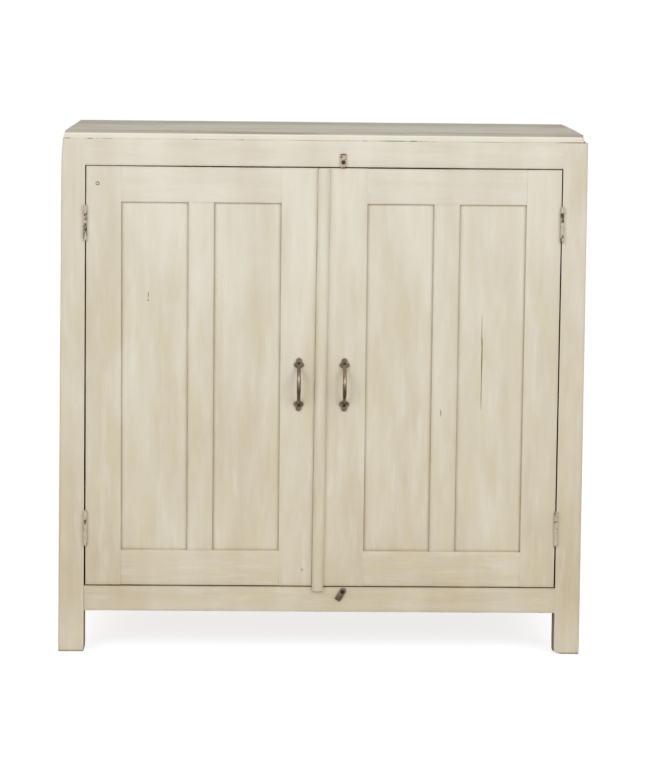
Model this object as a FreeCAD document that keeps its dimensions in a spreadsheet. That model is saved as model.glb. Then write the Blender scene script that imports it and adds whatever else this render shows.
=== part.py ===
import FreeCAD, Part
import os
import re
import Sketcher

# Two-door cabinet on four legs. Lengths are in millimetres, angles in degrees.
# +X is to the right of someone facing the doors, the doors face -Y and +Z is up.
# The origin is on the floor, in the middle of the space the cabinet and its handles take up.

sizes = {
    # The whole case
    "case_width": 1063,
    "case_depth": 450,
    "case_height": 1071,
    # Posts, which run down into the legs
    "post_width": 46.5,
    "post_depth": 50,
    "leg_length": 86.5,
    "foot_chamfer": 3.5,
    # Top, two boards side by side
    "top_thickness": 16,
    "top_end_setback": 5,
    "top_front_board_depth": 228,
    "top_seam": 0.6,
    "top_edge_radius": 5,
    # Rails of the case
    "front_rail_thickness": 38,
    "top_rail_height": 52,
    "bottom_rail_height": 51.5,
    "side_rail_thickness": 26,
    "side_rail_setback": 4,
    "side_top_rail_height": 60,
    "back_rail_thickness": 24,
    "back_top_rail_height": 60,
    # Tenons of the case rails
    "case_tenon_length": 28,
    "case_tenon_thickness": 12,
    "case_tenon_setback": 13,
    "case_tenon_shoulder": 8,
    "side_tenon_length": 18,
    "side_tenon_thickness": 8,
    "mortise_room": 1,
    # Side panels and every panel groove
    "side_panel_thickness": 8,
    "side_panel_inset": 10,
    "groove_depth": 9,
    "groove_room": 1,
    "panel_play": 0.2,
    # Back boards
    "back_board_thickness": 12,
    "back_board_gap": 0.8,
    # Floor boards
    "floor_thickness": 16,
    "floor_front_board_depth": 205,
    "floor_seam": 0.6,
    "floor_fit": 0.5,
    # Shelf and its cleats
    "shelf_height": 560,
    "shelf_thickness": 16,
    "shelf_setback": 24,
    "shelf_fit": 0.8,
    "cleat_width": 18,
    "cleat_height": 30,
    "cleat_setback": 25,
    # Batten that stops the doors at the top
    "stop_length": 320,
    "stop_height": 12,
    "stop_gap": 0.8,
    # Lost-head nails of the case
    "nail_radius": 1.4,
    "nail_length": 30,
    "nail_inset": 12,
    "nail_fit": 0.1,
    # Doors
    "door_thickness": 22,
    "door_proud": 0.5,
    "door_top_gap": 4,
    "door_bottom_gap": 3,
    "door_side_gap": 3,
    "meeting_gap": 2,
    "hinge_stile_width": 72,
    "left_meeting_stile_width": 72.5,
    "right_meeting_face_width": 75.5,
    "door_top_rail_height": 70.5,
    "door_bottom_rail_height": 72.5,
    "muntin_width": 51,
    "door_panel_thickness": 8,
    "door_panel_recess": 6,
    "door_tenon_length": 54,
    "door_tenon_shoulder": 15,
    "muntin_tenon_length": 25,
    "peg_radius": 3.5,
    "peg_from_shoulder": 47.5,
    "peg_inset": 34,
    "peg_fit": 0.1,
    # Butt hinges
    "hinge_length": 69,
    "upper_hinge_inset": 113,
    "lower_hinge_inset": 118.5,
    "right_hinge_lift": 4,
    "hinge_proud": 3,
    "hinge_offset": 1.5,
    "barrel_radius": 3.5,
    "hinge_pin_radius": 1.8,
    "pin_clearance": 0.05,
    "pin_head_radius": 3,
    "pin_head_height": 1.5,
    "leaf_width": 20,
    "leaf_thickness": 2,
    "knuckle_gap": 0.4,
    "knuckle_clearance": 0.5,
    "leaf_screw_pitch": 26,
    "leaf_screw_setback": 12.5,
    "leaf_screw_radius": 1.6,
    "leaf_screw_head_radius": 3.2,
    "leaf_screw_head_depth": 1.6,
    "leaf_screw_length": 14,
    "screw_fit": 0.1,
    # Bow handles
    "handle_reach": 30,
    "handle_from_middle": 46.5,
    "handle_height": 557,
    "handle_screw_spacing": 86,
    "handle_bar_radius": 4,
    "handle_bow_span": 70,
    "plate_thickness": 3,
    "plate_lobe_radius": 6,
    "plate_lobe_spread": 5,
    "plate_tip_radius": 5.3,
    "plate_tip_offset": 6.5,
    "plate_root_radius": 6.5,
    "plate_root_offset": 5,
    "handle_screw_radius": 1.8,
    "handle_screw_head_radius": 3.4,
    "handle_screw_head_depth": 2,
    "handle_screw_length": 17,
    # Half-round strip on the meeting edge of the right door
    "strip_width": 23,
    "strip_depth": 11,
    "strip_edge": 4,
    "strip_drop": 11,
    "strip_end_radius": 4,
    "strip_nail_radius": 1,
    "strip_nail_length": 24,
    # Turn buttons on the front rails
    "button_width": 14,
    "button_thickness": 2.5,
    "button_gap": 0.3,
    "button_clear": 0.5,
    "button_boss_radius": 5.5,
    "top_button_from_middle": 37.5,
    "top_button_rise": 13,
    "top_button_arm": 17,
    "bottom_button_from_middle": 45.5,
    "bottom_button_drop": 11.5,
    "bottom_button_arm": 21,
    "bottom_button_angle": 30.5,
    "button_screw_radius": 2,
    "button_screw_clearance": 0.05,
    "button_screw_head_radius": 4.2,
    "button_screw_head_height": 2.2,
    "button_screw_length": 22,
    # How far every cut runs past the face it starts from
    "overrun": 5,
}

# Places along a row, as shares of the row's length
top_nail_shares = (0.05, 0.35, 0.65, 0.95)
floor_nail_shares = (0.08, 0.5, 0.92)
stop_nail_shares = (0.1, 0.5, 0.9)
board_nail_shares = (0.2, 0.8)
strip_nail_shares = (0.08, 0.36, 0.64, 0.92)

back_board_count = 4
knuckle_count = 5
leaf_screw_rows = (-1, 0, 1)

# Formulas in words. Each word is a size from the sheet or another formula here.
places = {
    "front": "(handle_reach + door_proud - case_depth) / 2",
    "back": "front + case_depth",
    "side": "case_width / 2",
    "post_in": "side - post_width",
    "under_top": "case_height - top_thickness",
    "open_top": "under_top - top_rail_height",
    "open_bottom": "leg_length + bottom_rail_height",
    "side_sight_top": "under_top - side_top_rail_height",
    "door_front": "front - door_proud",
    "door_back": "door_front + door_thickness",
    "door_top": "open_top - door_top_gap",
    "door_bottom": "open_bottom + door_bottom_gap",
    "door_edge": "post_in - door_side_gap",
    "door_sight_bottom": "door_bottom + door_bottom_rail_height",
    "door_sight_top": "door_top - door_top_rail_height",
    "left_door_width": "door_edge - strip_width / 2 - meeting_gap",
    "right_door_width": "door_edge + strip_width / 2",
    "right_meeting_stile_width": "strip_width + right_meeting_face_width",
    "tongue": "groove_depth - groove_room",
    "pin_line": "post_in - door_side_gap / 2 - hinge_offset",
    "pin_y": "door_front - hinge_proud",
    "knuckle_length": f"hinge_length / {knuckle_count}",
    "stop_front": "door_back + stop_gap",
    "floor_top": "open_bottom + floor_thickness",
    "floor_inset": "side_panel_inset + side_panel_thickness + panel_play + floor_fit",
    "board_front": "back - back_board_thickness",
    "shelf_under": "shelf_height - shelf_thickness",
    "bow_rise": "handle_reach - handle_bar_radius",
    "bow_radius": "(handle_bow_span ^ 2 / 4 + bow_rise ^ 2) / (2 * bow_rise)",
}

# Two coordinates closer than this, as a share of their size, are the same place
close_share = 1e-6

left, right = -1, 1
directions = {
    "+x": FreeCAD.Vector(1, 0, 0),
    "-x": FreeCAD.Vector(-1, 0, 0),
    "+y": FreeCAD.Vector(0, 1, 0),
    "-y": FreeCAD.Vector(0, -1, 0),
    "+z": FreeCAD.Vector(0, 0, 1),
    "-z": FreeCAD.Vector(0, 0, -1),
}

doc = FreeCAD.newDocument("cabinet")
sheet = doc.addObject("Spreadsheet::Sheet", "sizes")
for row, (alias, number) in enumerate(sizes.items(), start=1):
    sheet.set(f"A{row}", alias)
    sheet.set(f"B{row}", str(number))
    sheet.setAlias(f"B{row}", alias)
doc.recompute()

nodes = []


def formula(text):
    """Turn a formula in words into an expression on the sheet's cells."""
    def replace(match):
        word = match.group(0)
        if word in places:
            return f"({formula(places[word])})"
        if word in sizes:
            return f"sizes.{word}"
        return word
    return re.sub(r"[a-z]\w*", replace, text)


def bind(piece, **formulas):
    """Bind properties to formulas; x, y and z stand for the piece's place."""
    for name, text in formulas.items():
        target = f"Placement.Base.{name}" if name in ("x", "y", "z") else name
        piece.setExpression(target, formula(text))
    return piece


def keep(piece, label):
    """Name a finished piece and list it for writing."""
    piece.Label = label
    nodes.append(piece)
    return piece


def box(x, y, z, dx, dy, dz):
    piece = doc.addObject("Part::Box", "block")
    return bind(piece, x=x, y=y, z=z, Length=dx, Width=dy, Height=dz)


def cylinder(direction, x, y, z, radius, length):
    piece = doc.addObject("Part::Cylinder", "rod")
    turn = FreeCAD.Rotation(directions["+z"], directions[direction])
    piece.Placement = FreeCAD.Placement(FreeCAD.Vector(), turn)
    return bind(piece, x=x, y=y, z=z, Radius=radius, Height=length)


def cone(direction, x, y, z, radius, end_radius, length):
    piece = doc.addObject("Part::Cone", "taper")
    turn = FreeCAD.Rotation(directions["+z"], directions[direction])
    piece.Placement = FreeCAD.Placement(FreeCAD.Vector(), turn)
    return bind(piece, x=x, y=y, z=z, Radius1=radius, Radius2=end_radius, Height=length)


def fuse(pieces):
    piece = doc.addObject("Part::MultiFuse", "joined")
    piece.Shapes = pieces
    piece.Refine = True
    return piece


def cut(piece, tools):
    rest = doc.addObject("Part::Cut", "cut")
    rest.Base = piece
    rest.Tool = fuse(tools) if len(tools) > 1 else tools[0]
    return rest


def group(pieces):
    piece = doc.addObject("Part::Compound", "group")
    piece.Links = pieces
    return piece


def span(hand, line, start, end):
    """Start and length in X of what lies from start to end inward of a line on one side."""
    if hand == left:
        return f"-({line}) + ({start})", f"({end}) - ({start})"
    return f"({line}) - ({end})", f"({end}) - ({start})"


def at(hand, line, inward):
    """Place in X of what lies inward of a line on one side."""
    return f"-({line}) + ({inward})" if hand == left else f"({line}) - ({inward})"


def inwards(hand):
    return "+x" if hand == left else "-x"


def outwards(hand):
    return "-x" if hand == left else "+x"


def along(start, end, share):
    return f"({start}) + (({end}) - ({start})) * {share}"


def new_sketch(body, plane, name):
    sketch = body.newObject("Sketcher::SketchObject", name)
    support = [item for item in body.Origin.OriginFeatures if item.Role == plane]
    sketch.AttachmentSupport = (support[0], [""])
    sketch.MapMode = "FlatFace"
    return sketch


def measure(sketch, kind, drawn, formula_text, *ends):
    """Add a driving measurement to a sketch, as drawn, and bind it to a formula."""
    index = sketch.addConstraint(Sketcher.Constraint(kind, *ends, drawn))
    sketch.setExpression(f"Constraints[{index}]", formula(formula_text))


def closed_outline(sketch, count):
    for index in range(count):
        following = (index + 1) % count
        sketch.addConstraint(Sketcher.Constraint("Coincident", index, 2, following, 1))


def board(name, width, depth, height):
    """A plain rectangular blank with one corner at its own origin."""
    body = doc.addObject("PartDesign::Body", name)
    sketch = new_sketch(body, "XY_Plane", f"{name}_section")
    corners = [(0, 0), (1, 0), (1, 1), (0, 1)]
    for index, corner in enumerate(corners):
        following = corners[(index + 1) % len(corners)]
        start = FreeCAD.Vector(*corner, 0)
        end = FreeCAD.Vector(*following, 0)
        sketch.addGeometry(Part.LineSegment(start, end), False)
    closed_outline(sketch, len(corners))
    sketch.addConstraint(Sketcher.Constraint("Coincident", 0, 1, -1, 1))
    for index, kind in enumerate(("Horizontal", "Vertical", "Horizontal", "Vertical")):
        sketch.addConstraint(Sketcher.Constraint(kind, index))
    measure(sketch, "DistanceX", 1, width, 0, 1, 0, 2)
    measure(sketch, "DistanceY", 1, depth, 1, 1, 1, 2)
    pad = body.newObject("PartDesign::Pad", f"{name}_pad")
    pad.Profile = sketch
    bind(pad, Length=height)
    doc.recompute()
    return body


def edges_where(feature, chosen):
    box_of_all = feature.Shape.BoundBox
    names = []
    for index, edge in enumerate(feature.Shape.Edges, start=1):
        if chosen(edge.BoundBox, box_of_all):
            names.append(f"Edge{index}")
    return names


def same(first, second):
    scale = max(abs(first), abs(second), 1)
    return abs(first - second) / scale < close_share


def dress(body, kind, name, chosen, **formulas):
    """Round or chamfer the chosen edges of a body's last feature."""
    feature = body.Tip
    edge_names = edges_where(feature, chosen)
    dressing = body.newObject(kind, name)
    dressing.Base = (feature, edge_names)
    bind(dressing, **formulas)
    doc.recompute()
    return dressing


# Fasteners: each list of holes is cut from the pieces that the fastener passes through


def nail(direction, x, y, z):
    pin = cylinder(direction, x, y, z, "nail_radius", "nail_length")
    hole = cylinder(direction, x, y, z, "nail_radius + nail_fit", "nail_length + nail_fit")
    return pin, hole


def screw(direction, x, y, z, kind):
    """A countersunk screw whose head is flush with the place given, and its holes."""
    head = cone(direction, x, y, z, f"{kind}_head_radius", f"{kind}_radius", f"{kind}_head_depth")
    shank = cylinder(direction, x, y, z, f"{kind}_radius", f"{kind}_length")
    sink = cone(
        direction, x, y, z,
        f"{kind}_head_radius + screw_fit", f"{kind}_radius + screw_fit", f"{kind}_head_depth",
    )
    bore = cylinder(
        direction, x, y, z, f"{kind}_radius + screw_fit", f"{kind}_length + screw_fit",
    )
    return fuse([head, shank]), [sink, bore]


# Butt hinges


def hinge_heights(hand):
    """Middles of the upper and lower hinge; those of the right door sit a little higher."""
    lift = "right_hinge_lift" if hand == right else "0"
    return {
        "upper": f"door_top - upper_hinge_inset + {lift}",
        "lower": f"door_bottom + lower_hinge_inset + {lift}",
    }


def knuckles(hand, middle, numbers, radius, extra):
    """Rods on the pin line over the numbered knuckles, each longer by extra in all."""
    rods = []
    for number in numbers:
        base = f"{middle} - hinge_length / 2 + {number} * knuckle_length - ({extra}) / 2"
        rods.append(cylinder(
            "+z", at(hand, "pin_line", "0"), "pin_y", base, radius, f"knuckle_length + {extra}",
        ))
    return rods


def hinge_leaf(hand, middle, own, other, start, screw_direction, screw_face):
    """One leaf with its knuckles, its screws, and the cuts that let it into the wood."""
    x, dx = span(hand, "pin_line", start, f"{start} + leaf_thickness")
    bottom = f"{middle} - hinge_length / 2"
    plate = box(x, "pin_y", bottom, dx, "leaf_width", "hinge_length")
    leaf = fuse([plate] + knuckles(hand, middle, own, "barrel_radius", "-knuckle_gap"))
    clear = knuckles(hand, middle, other, "barrel_radius + knuckle_clearance", "knuckle_gap")
    bore = cylinder(
        "+z", at(hand, "pin_line", "0"), "pin_y", f"{bottom} - overrun",
        "hinge_pin_radius + pin_clearance", "hinge_length + 2 * overrun",
    )
    screws = []
    holes = []
    for screw_row in leaf_screw_rows:
        one, its_holes = screw(
            screw_direction, at(hand, "pin_line", screw_face), "pin_y + leaf_screw_setback",
            f"{middle} + {screw_row} * leaf_screw_pitch", "leaf_screw",
        )
        screws.append(one)
        holes.extend(its_holes)
    return cut(leaf, clear + [bore] + holes), screws, holes, plate


def hinge_pin(hand, middle):
    x = at(hand, "pin_line", "0")
    bottom = f"{middle} - hinge_length / 2"
    shaft = cylinder("+z", x, "pin_y", bottom, "hinge_pin_radius", "hinge_length")
    foot = cylinder("-z", x, "pin_y", bottom, "pin_head_radius", "pin_head_height")
    head = cylinder(
        "+z", x, "pin_y", f"{bottom} + hinge_length", "pin_head_radius", "pin_head_height",
    )
    return fuse([shaft, foot, head])


frame_leaves = []
frame_screws = []
hinge_pins = []
post_hinge_cuts = {left: [], right: []}
door_leaves = {left: [], right: []}
door_leaf_screws = {left: [], right: []}
door_hinge_cuts = {left: [], right: []}

frame_knuckles = range(0, knuckle_count, 2)
door_knuckles = range(1, knuckle_count, 2)

for hand in (left, right):
    for middle in hinge_heights(hand).values():
        leaf, screws, holes, plate = hinge_leaf(
            hand, middle, frame_knuckles, door_knuckles, "-barrel_radius",
            outwards(hand), "leaf_thickness - barrel_radius",
        )
        frame_leaves.append(leaf)
        frame_screws.extend(screws)
        post_hinge_cuts[hand].extend([plate] + holes)
        leaf, screws, holes, plate = hinge_leaf(
            hand, middle, door_knuckles, frame_knuckles, "pin_line - door_edge",
            inwards(hand), "pin_line - door_edge",
        )
        door_leaves[hand].append(leaf)
        door_leaf_screws[hand].extend(screws)
        relief = cylinder(
            "+z", at(hand, "pin_line", "0"), "pin_y",
            f"{middle} - hinge_length / 2 - pin_head_height - knuckle_clearance",
            "barrel_radius + knuckle_clearance",
            "hinge_length + 2 * (pin_head_height + knuckle_clearance)",
        )
        door_hinge_cuts[hand].extend([plate, relief] + holes)
        hinge_pins.append(hinge_pin(hand, middle))

keep(group(frame_leaves), "frame_hinge_leaves")
keep(group(frame_screws), "frame_hinge_screws")
keep(group(hinge_pins), "hinge_pins")

# Case: cuts that the nails make in it are gathered first

case_nails = []
nail_holes = {}


def drive(direction, x, y, z, pieces):
    """Drive a nail and note its hole for each piece that it passes through."""
    pin, hole = nail(direction, x, y, z)
    case_nails.append(pin)
    for name in pieces:
        nail_holes.setdefault(name, []).append(hole)


for share in top_nail_shares:
    row_x = along("-post_in", "post_in", share)
    drive("-z", row_x, "front + front_rail_thickness / 2", "case_height",
          ("top_front_board", "front_top_rail"))
    drive("-z", row_x, "board_front - back_rail_thickness / 2", "case_height",
          ("top_back_board", "back_top_rail"))

for share in floor_nail_shares:
    row_x = along("-post_in", "post_in", share)
    drive("-z", row_x, "(stop_front + front + front_rail_thickness) / 2", "floor_top",
          ("floor_front_board", "front_bottom_rail"))
    drive("-z", row_x, "board_front - back_rail_thickness / 2", "floor_top",
          ("floor_back_board", "back_bottom_rail"))

for share in stop_nail_shares:
    drive("+z", along("-stop_length / 2", "stop_length / 2", share),
          "(stop_front + front + front_rail_thickness) / 2", "open_top - stop_height",
          ("door_stop", "front_top_rail"))

board_pitch = f"(2 * post_in - back_board_gap) / {back_board_count}"
for number in range(back_board_count):
    board_start = f"-post_in + back_board_gap + {number} * {board_pitch}"
    board_end = f"{board_start} + {board_pitch} - back_board_gap"
    for share in board_nail_shares:
        row_x = along(board_start, board_end, share)
        drive("-y", row_x, "back", "under_top - back_top_rail_height / 2",
              (f"back_board_{number + 1}", "back_top_rail"))
        drive("-y", row_x, "back", "leg_length + bottom_rail_height / 2",
              (f"back_board_{number + 1}", "back_bottom_rail"))

for hand, word in ((left, "left"), (right, "right")):
    nail_x = at(hand, "post_in", "cleat_width")
    nail_z = "shelf_under - cleat_height / 2"
    drive(outwards(hand), nail_x, "front + cleat_setback + nail_inset", nail_z,
          (f"{word}_shelf_cleat", f"front_{word}_post"))
    drive(outwards(hand), nail_x, "back - cleat_setback - nail_inset", nail_z,
          (f"{word}_shelf_cleat", f"back_{word}_post"))

keep(group(case_nails), "case_nails")


# Screws that the turn buttons turn on, and the rails' holes for them

button_pivots = {
    "top": ("top_button_from_middle", "door_top + top_button_rise"),
    "bottom": ("bottom_button_from_middle", "door_bottom - bottom_button_drop"),
}
button_back = "door_front - button_gap"
button_screws = []
button_screw_holes = {}
for name, (x, z) in button_pivots.items():
    head_face = f"{button_back} - button_thickness"
    shank = cylinder("+y", x, head_face, z, "button_screw_radius", "button_screw_length")
    head = cylinder("-y", x, head_face, z, "button_screw_head_radius", "button_screw_head_height")
    button_screws.append(fuse([shank, head]))
    button_screw_holes[name] = cylinder(
        "+y", x, head_face, z,
        "button_screw_radius + screw_fit", "button_screw_length + screw_fit",
    )
keep(group(button_screws), "button_screws")

# Posts, with a mortise for each rail, a groove for the side panel and hinge housings


def side_mortises(hand, y, dy):
    """Housings in one post for the two side rails and the groove for the panel between them."""
    x, dx = span(hand, "side", "side_panel_inset", "side_panel_inset + side_tenon_thickness")
    top = box(
        x, y, "side_sight_top + case_tenon_shoulder",
        dx, dy, "side_top_rail_height - 2 * case_tenon_shoulder",
    )
    bottom = box(
        x, y, "leg_length + case_tenon_shoulder",
        dx, dy, "bottom_rail_height - 2 * case_tenon_shoulder",
    )
    return [top, bottom]


def side_groove(hand, y, dy, z, dz):
    x, dx = span(
        hand, "side", "side_panel_inset - panel_play / 2",
        "side_panel_inset + side_panel_thickness + panel_play / 2",
    )
    return box(x, y, z, dx, dy, dz)


def cross_mortises(hand, y, top_height):
    """Housings in one post for the front or the back rails."""
    x, dx = span(
        hand, "side", "post_width - case_tenon_length - mortise_room", "post_width + overrun",
    )
    top = box(
        x, y, f"under_top - {top_height} + case_tenon_shoulder",
        dx, "case_tenon_thickness", f"{top_height} - 2 * case_tenon_shoulder",
    )
    bottom = box(
        x, y, "leg_length + case_tenon_shoulder",
        dx, "case_tenon_thickness", "bottom_rail_height - 2 * case_tenon_shoulder",
    )
    return [top, bottom]


def post(name, hand, y, cuts):
    blank = board(f"{name}_blank", "post_width", "post_depth", "under_top")
    dress(
        blank, "PartDesign::Chamfer", f"{name}_foot",
        lambda edge, whole: same(edge.ZMax, whole.ZMin), Size="foot_chamfer",
    )
    x, _ = span(hand, "side", "0", "post_width")
    bind(blank, x=x, y=y, z="0")
    keep(cut(blank, cuts), name)


groove_bottom = "open_bottom - groove_depth"
groove_height = "side_sight_top - open_bottom + 2 * groove_depth"
front_tenon_y = "front + case_tenon_setback"
back_tenon_y = "board_front - (back_rail_thickness + case_tenon_thickness) / 2"

for hand, word in ((left, "left"), (right, "right")):
    name = f"front_{word}_post"
    inner = "front + post_depth"
    cuts = cross_mortises(hand, front_tenon_y, "top_rail_height")
    cuts += side_mortises(
        hand, f"{inner} - side_tenon_length - mortise_room",
        "side_tenon_length + mortise_room + overrun",
    )
    cuts.append(side_groove(
        hand, f"{inner} - groove_depth", "groove_depth + overrun", groove_bottom, groove_height,
    ))
    cuts += post_hinge_cuts[hand] + nail_holes[name]
    post(name, hand, "front", cuts)

    name = f"back_{word}_post"
    inner = "back - post_depth"
    cuts = cross_mortises(hand, back_tenon_y, "back_top_rail_height")
    cuts += side_mortises(
        hand, f"{inner} - overrun", "side_tenon_length + mortise_room + overrun",
    )
    cuts.append(side_groove(
        hand, f"{inner} - overrun", "groove_depth + overrun", groove_bottom, groove_height,
    ))
    cuts += nail_holes[name]
    post(name, hand, "back - post_depth", cuts)

# Rails of the case: a bar between the posts with a tenon bar through it


def cross_rail(name, y, thickness, z, height, tenon_y, cuts):
    bar = box("-post_in", y, z, "2 * post_in", thickness, height)
    tenons = box(
        "-post_in - case_tenon_length", tenon_y, f"{z} + case_tenon_shoulder",
        "2 * (post_in + case_tenon_length)", "case_tenon_thickness",
        f"{height} - 2 * case_tenon_shoulder",
    )
    keep(cut(fuse([bar, tenons]), cuts), name)


cross_rail(
    "front_top_rail", "front", "front_rail_thickness", "open_top", "top_rail_height",
    front_tenon_y, nail_holes["front_top_rail"] + [button_screw_holes["top"]],
)
cross_rail(
    "front_bottom_rail", "front", "front_rail_thickness", "leg_length", "bottom_rail_height",
    front_tenon_y, nail_holes["front_bottom_rail"] + [button_screw_holes["bottom"]],
)
cross_rail(
    "back_top_rail", "board_front - back_rail_thickness", "back_rail_thickness",
    "under_top - back_top_rail_height", "back_top_rail_height",
    back_tenon_y, nail_holes["back_top_rail"],
)
cross_rail(
    "back_bottom_rail", "board_front - back_rail_thickness", "back_rail_thickness",
    "leg_length", "bottom_rail_height", back_tenon_y, nail_holes["back_bottom_rail"],
)


def side_rail(name, hand, z, height, groove_z):
    x, dx = span(hand, "side", "side_rail_setback", "side_rail_setback + side_rail_thickness")
    bar = box(x, "front + post_depth", z, dx, "case_depth - 2 * post_depth", height)
    tenon_x, tenon_dx = span(
        hand, "side", "side_panel_inset", "side_panel_inset + side_tenon_thickness",
    )
    tenons = box(
        tenon_x, "front + post_depth - side_tenon_length", f"{z} + case_tenon_shoulder",
        tenon_dx, "case_depth - 2 * post_depth + 2 * side_tenon_length",
        f"{height} - 2 * case_tenon_shoulder",
    )
    groove = side_groove(
        hand, "front + post_depth", "case_depth - 2 * post_depth",
        groove_z, "groove_depth + overrun",
    )
    keep(cut(fuse([bar, tenons]), [groove]), name)


for hand, word in ((left, "left"), (right, "right")):
    side_rail(
        f"{word}_side_top_rail", hand, "side_sight_top",
        "side_top_rail_height", "side_sight_top - overrun",
    )
    side_rail(
        f"{word}_side_bottom_rail", hand, "leg_length", "bottom_rail_height", groove_bottom,
    )
    x, dx = span(hand, "side", "side_panel_inset", "side_panel_inset + side_panel_thickness")
    keep(box(
        x, "front + post_depth - tongue", "open_bottom - tongue",
        dx, "case_depth - 2 * (post_depth - tongue)", "side_sight_top - open_bottom + 2 * tongue",
    ), f"{word}_side_panel")

# Top boards, the front one with a rounded front edge


def top_board(name, y, depth):
    blank = board(f"{name}_blank", "case_width - 2 * top_end_setback", depth, "top_thickness")
    bind(blank, x="top_end_setback - side", y=y, z="under_top")
    return blank


front_board = top_board("top_front_board", "front", "top_front_board_depth - top_seam / 2")
dress(
    front_board, "PartDesign::Fillet", "top_front_round",
    lambda edge, whole: same(edge.YMax, whole.YMin) and same(edge.ZMin, whole.ZMax),
    Radius="top_edge_radius",
)
keep(cut(front_board, nail_holes["top_front_board"]), "top_front_board")
back_top_board = top_board(
    "top_back_board", "front + top_front_board_depth + top_seam / 2",
    "case_depth - top_front_board_depth - top_seam / 2",
)
keep(cut(back_top_board, nail_holes["top_back_board"]), "top_back_board")

# Back boards between the back posts

for number in range(back_board_count):
    name = f"back_board_{number + 1}"
    plank = box(
        f"-post_in + back_board_gap + {number} * {board_pitch}", "board_front", "leg_length",
        f"{board_pitch} - back_board_gap", "back_board_thickness", "under_top - leg_length",
    )
    keep(cut(plank, nail_holes[name]), name)

# Floor boards on the bottom rails, notched round the posts


def floor_board(name, y, depth, notch_y):
    x, _ = span(left, "side", "floor_inset", "floor_inset")
    plank = box(x, y, "open_bottom", "2 * (side - floor_inset)", depth, "floor_thickness")
    notches = []
    for hand in (left, right):
        notch_x, notch_dx = span(hand, "side", "0", "post_width + floor_fit")
        notches.append(box(
            notch_x, notch_y, "open_bottom - overrun",
            notch_dx, "post_depth + floor_fit", "floor_thickness + 2 * overrun",
        ))
    keep(cut(plank, notches + nail_holes[name]), name)


floor_board("floor_front_board", "stop_front", "floor_front_board_depth - floor_seam / 2", "front")
floor_board(
    "floor_back_board", "stop_front + floor_front_board_depth + floor_seam / 2",
    "board_front - shelf_fit - (stop_front + floor_front_board_depth + floor_seam / 2)",
    "back - post_depth - floor_fit",
)

# Shelf on two cleats, and the batten that stops the doors

keep(box(
    "shelf_fit - post_in", "door_back + shelf_setback", "shelf_under",
    "2 * (post_in - shelf_fit)", "board_front - shelf_fit - (door_back + shelf_setback)",
    "shelf_thickness",
), "shelf")

for hand, word in ((left, "left"), (right, "right")):
    name = f"{word}_shelf_cleat"
    x, dx = span(hand, "post_in", "0", "cleat_width")
    cleat = box(
        x, "front + cleat_setback", "shelf_under - cleat_height",
        dx, "case_depth - 2 * cleat_setback", "cleat_height",
    )
    keep(cut(cleat, nail_holes[name]), name)

stop = box(
    "-stop_length / 2", "stop_front", "open_top - stop_height",
    "stop_length", "front + front_rail_thickness - (stop_front)", "stop_height",
)
keep(cut(stop, nail_holes["door_stop"]), "door_stop")

# Handles: an arched bar between two lobed plates, and their screws


def handle(word, x):
    lobes = []
    screws = []
    holes = []
    for end in (1, -1):
        z = f"handle_height + {end} * handle_screw_spacing / 2"
        lobe_places = (
            (f"{x} - plate_lobe_spread", z, "plate_lobe_radius"),
            (f"{x} + plate_lobe_spread", z, "plate_lobe_radius"),
            (x, f"{z} + {end} * plate_tip_offset", "plate_tip_radius"),
            (x, f"{z} - {end} * plate_root_offset", "plate_root_radius"),
        )
        for lobe_x, lobe_z, radius in lobe_places:
            lobes.append(cylinder("-y", lobe_x, "door_front", lobe_z, radius, "plate_thickness"))
        one, its_holes = screw("+y", x, "door_front - plate_thickness", z, "handle_screw")
        screws.append(one)
        holes.extend(its_holes)
    ring = doc.addObject("Part::Torus", "bow")
    turn = FreeCAD.Rotation(directions["+z"], directions["+x"])
    ring.Placement = FreeCAD.Placement(FreeCAD.Vector(), turn)
    bind(
        ring, x=x, y="door_front - bow_rise + bow_radius", z="handle_height",
        Radius1="bow_radius", Radius2="handle_bar_radius",
    )
    reach = "bow_radius + handle_bar_radius + overrun"
    behind = box(
        f"{x} - ({reach})", "door_front", f"handle_height - ({reach})",
        f"2 * ({reach})", f"2 * ({reach})", f"2 * ({reach})",
    )
    bow = cut(ring, [behind])
    keep(cut(fuse(lobes + [bow]), holes), f"{word}_handle")
    keep(group(screws), f"{word}_handle_screws")
    return holes


# Doors: two stiles, two rails and a muntin round two flat panels


def peg_hole_and_peg(x, z):
    peg = cylinder("+y", x, "door_front", z, "peg_radius", "door_thickness")
    hole = cylinder(
        "+y", x, "door_front - overrun", z,
        "peg_radius + peg_fit", "door_thickness + 2 * overrun",
    )
    return peg, hole


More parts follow.
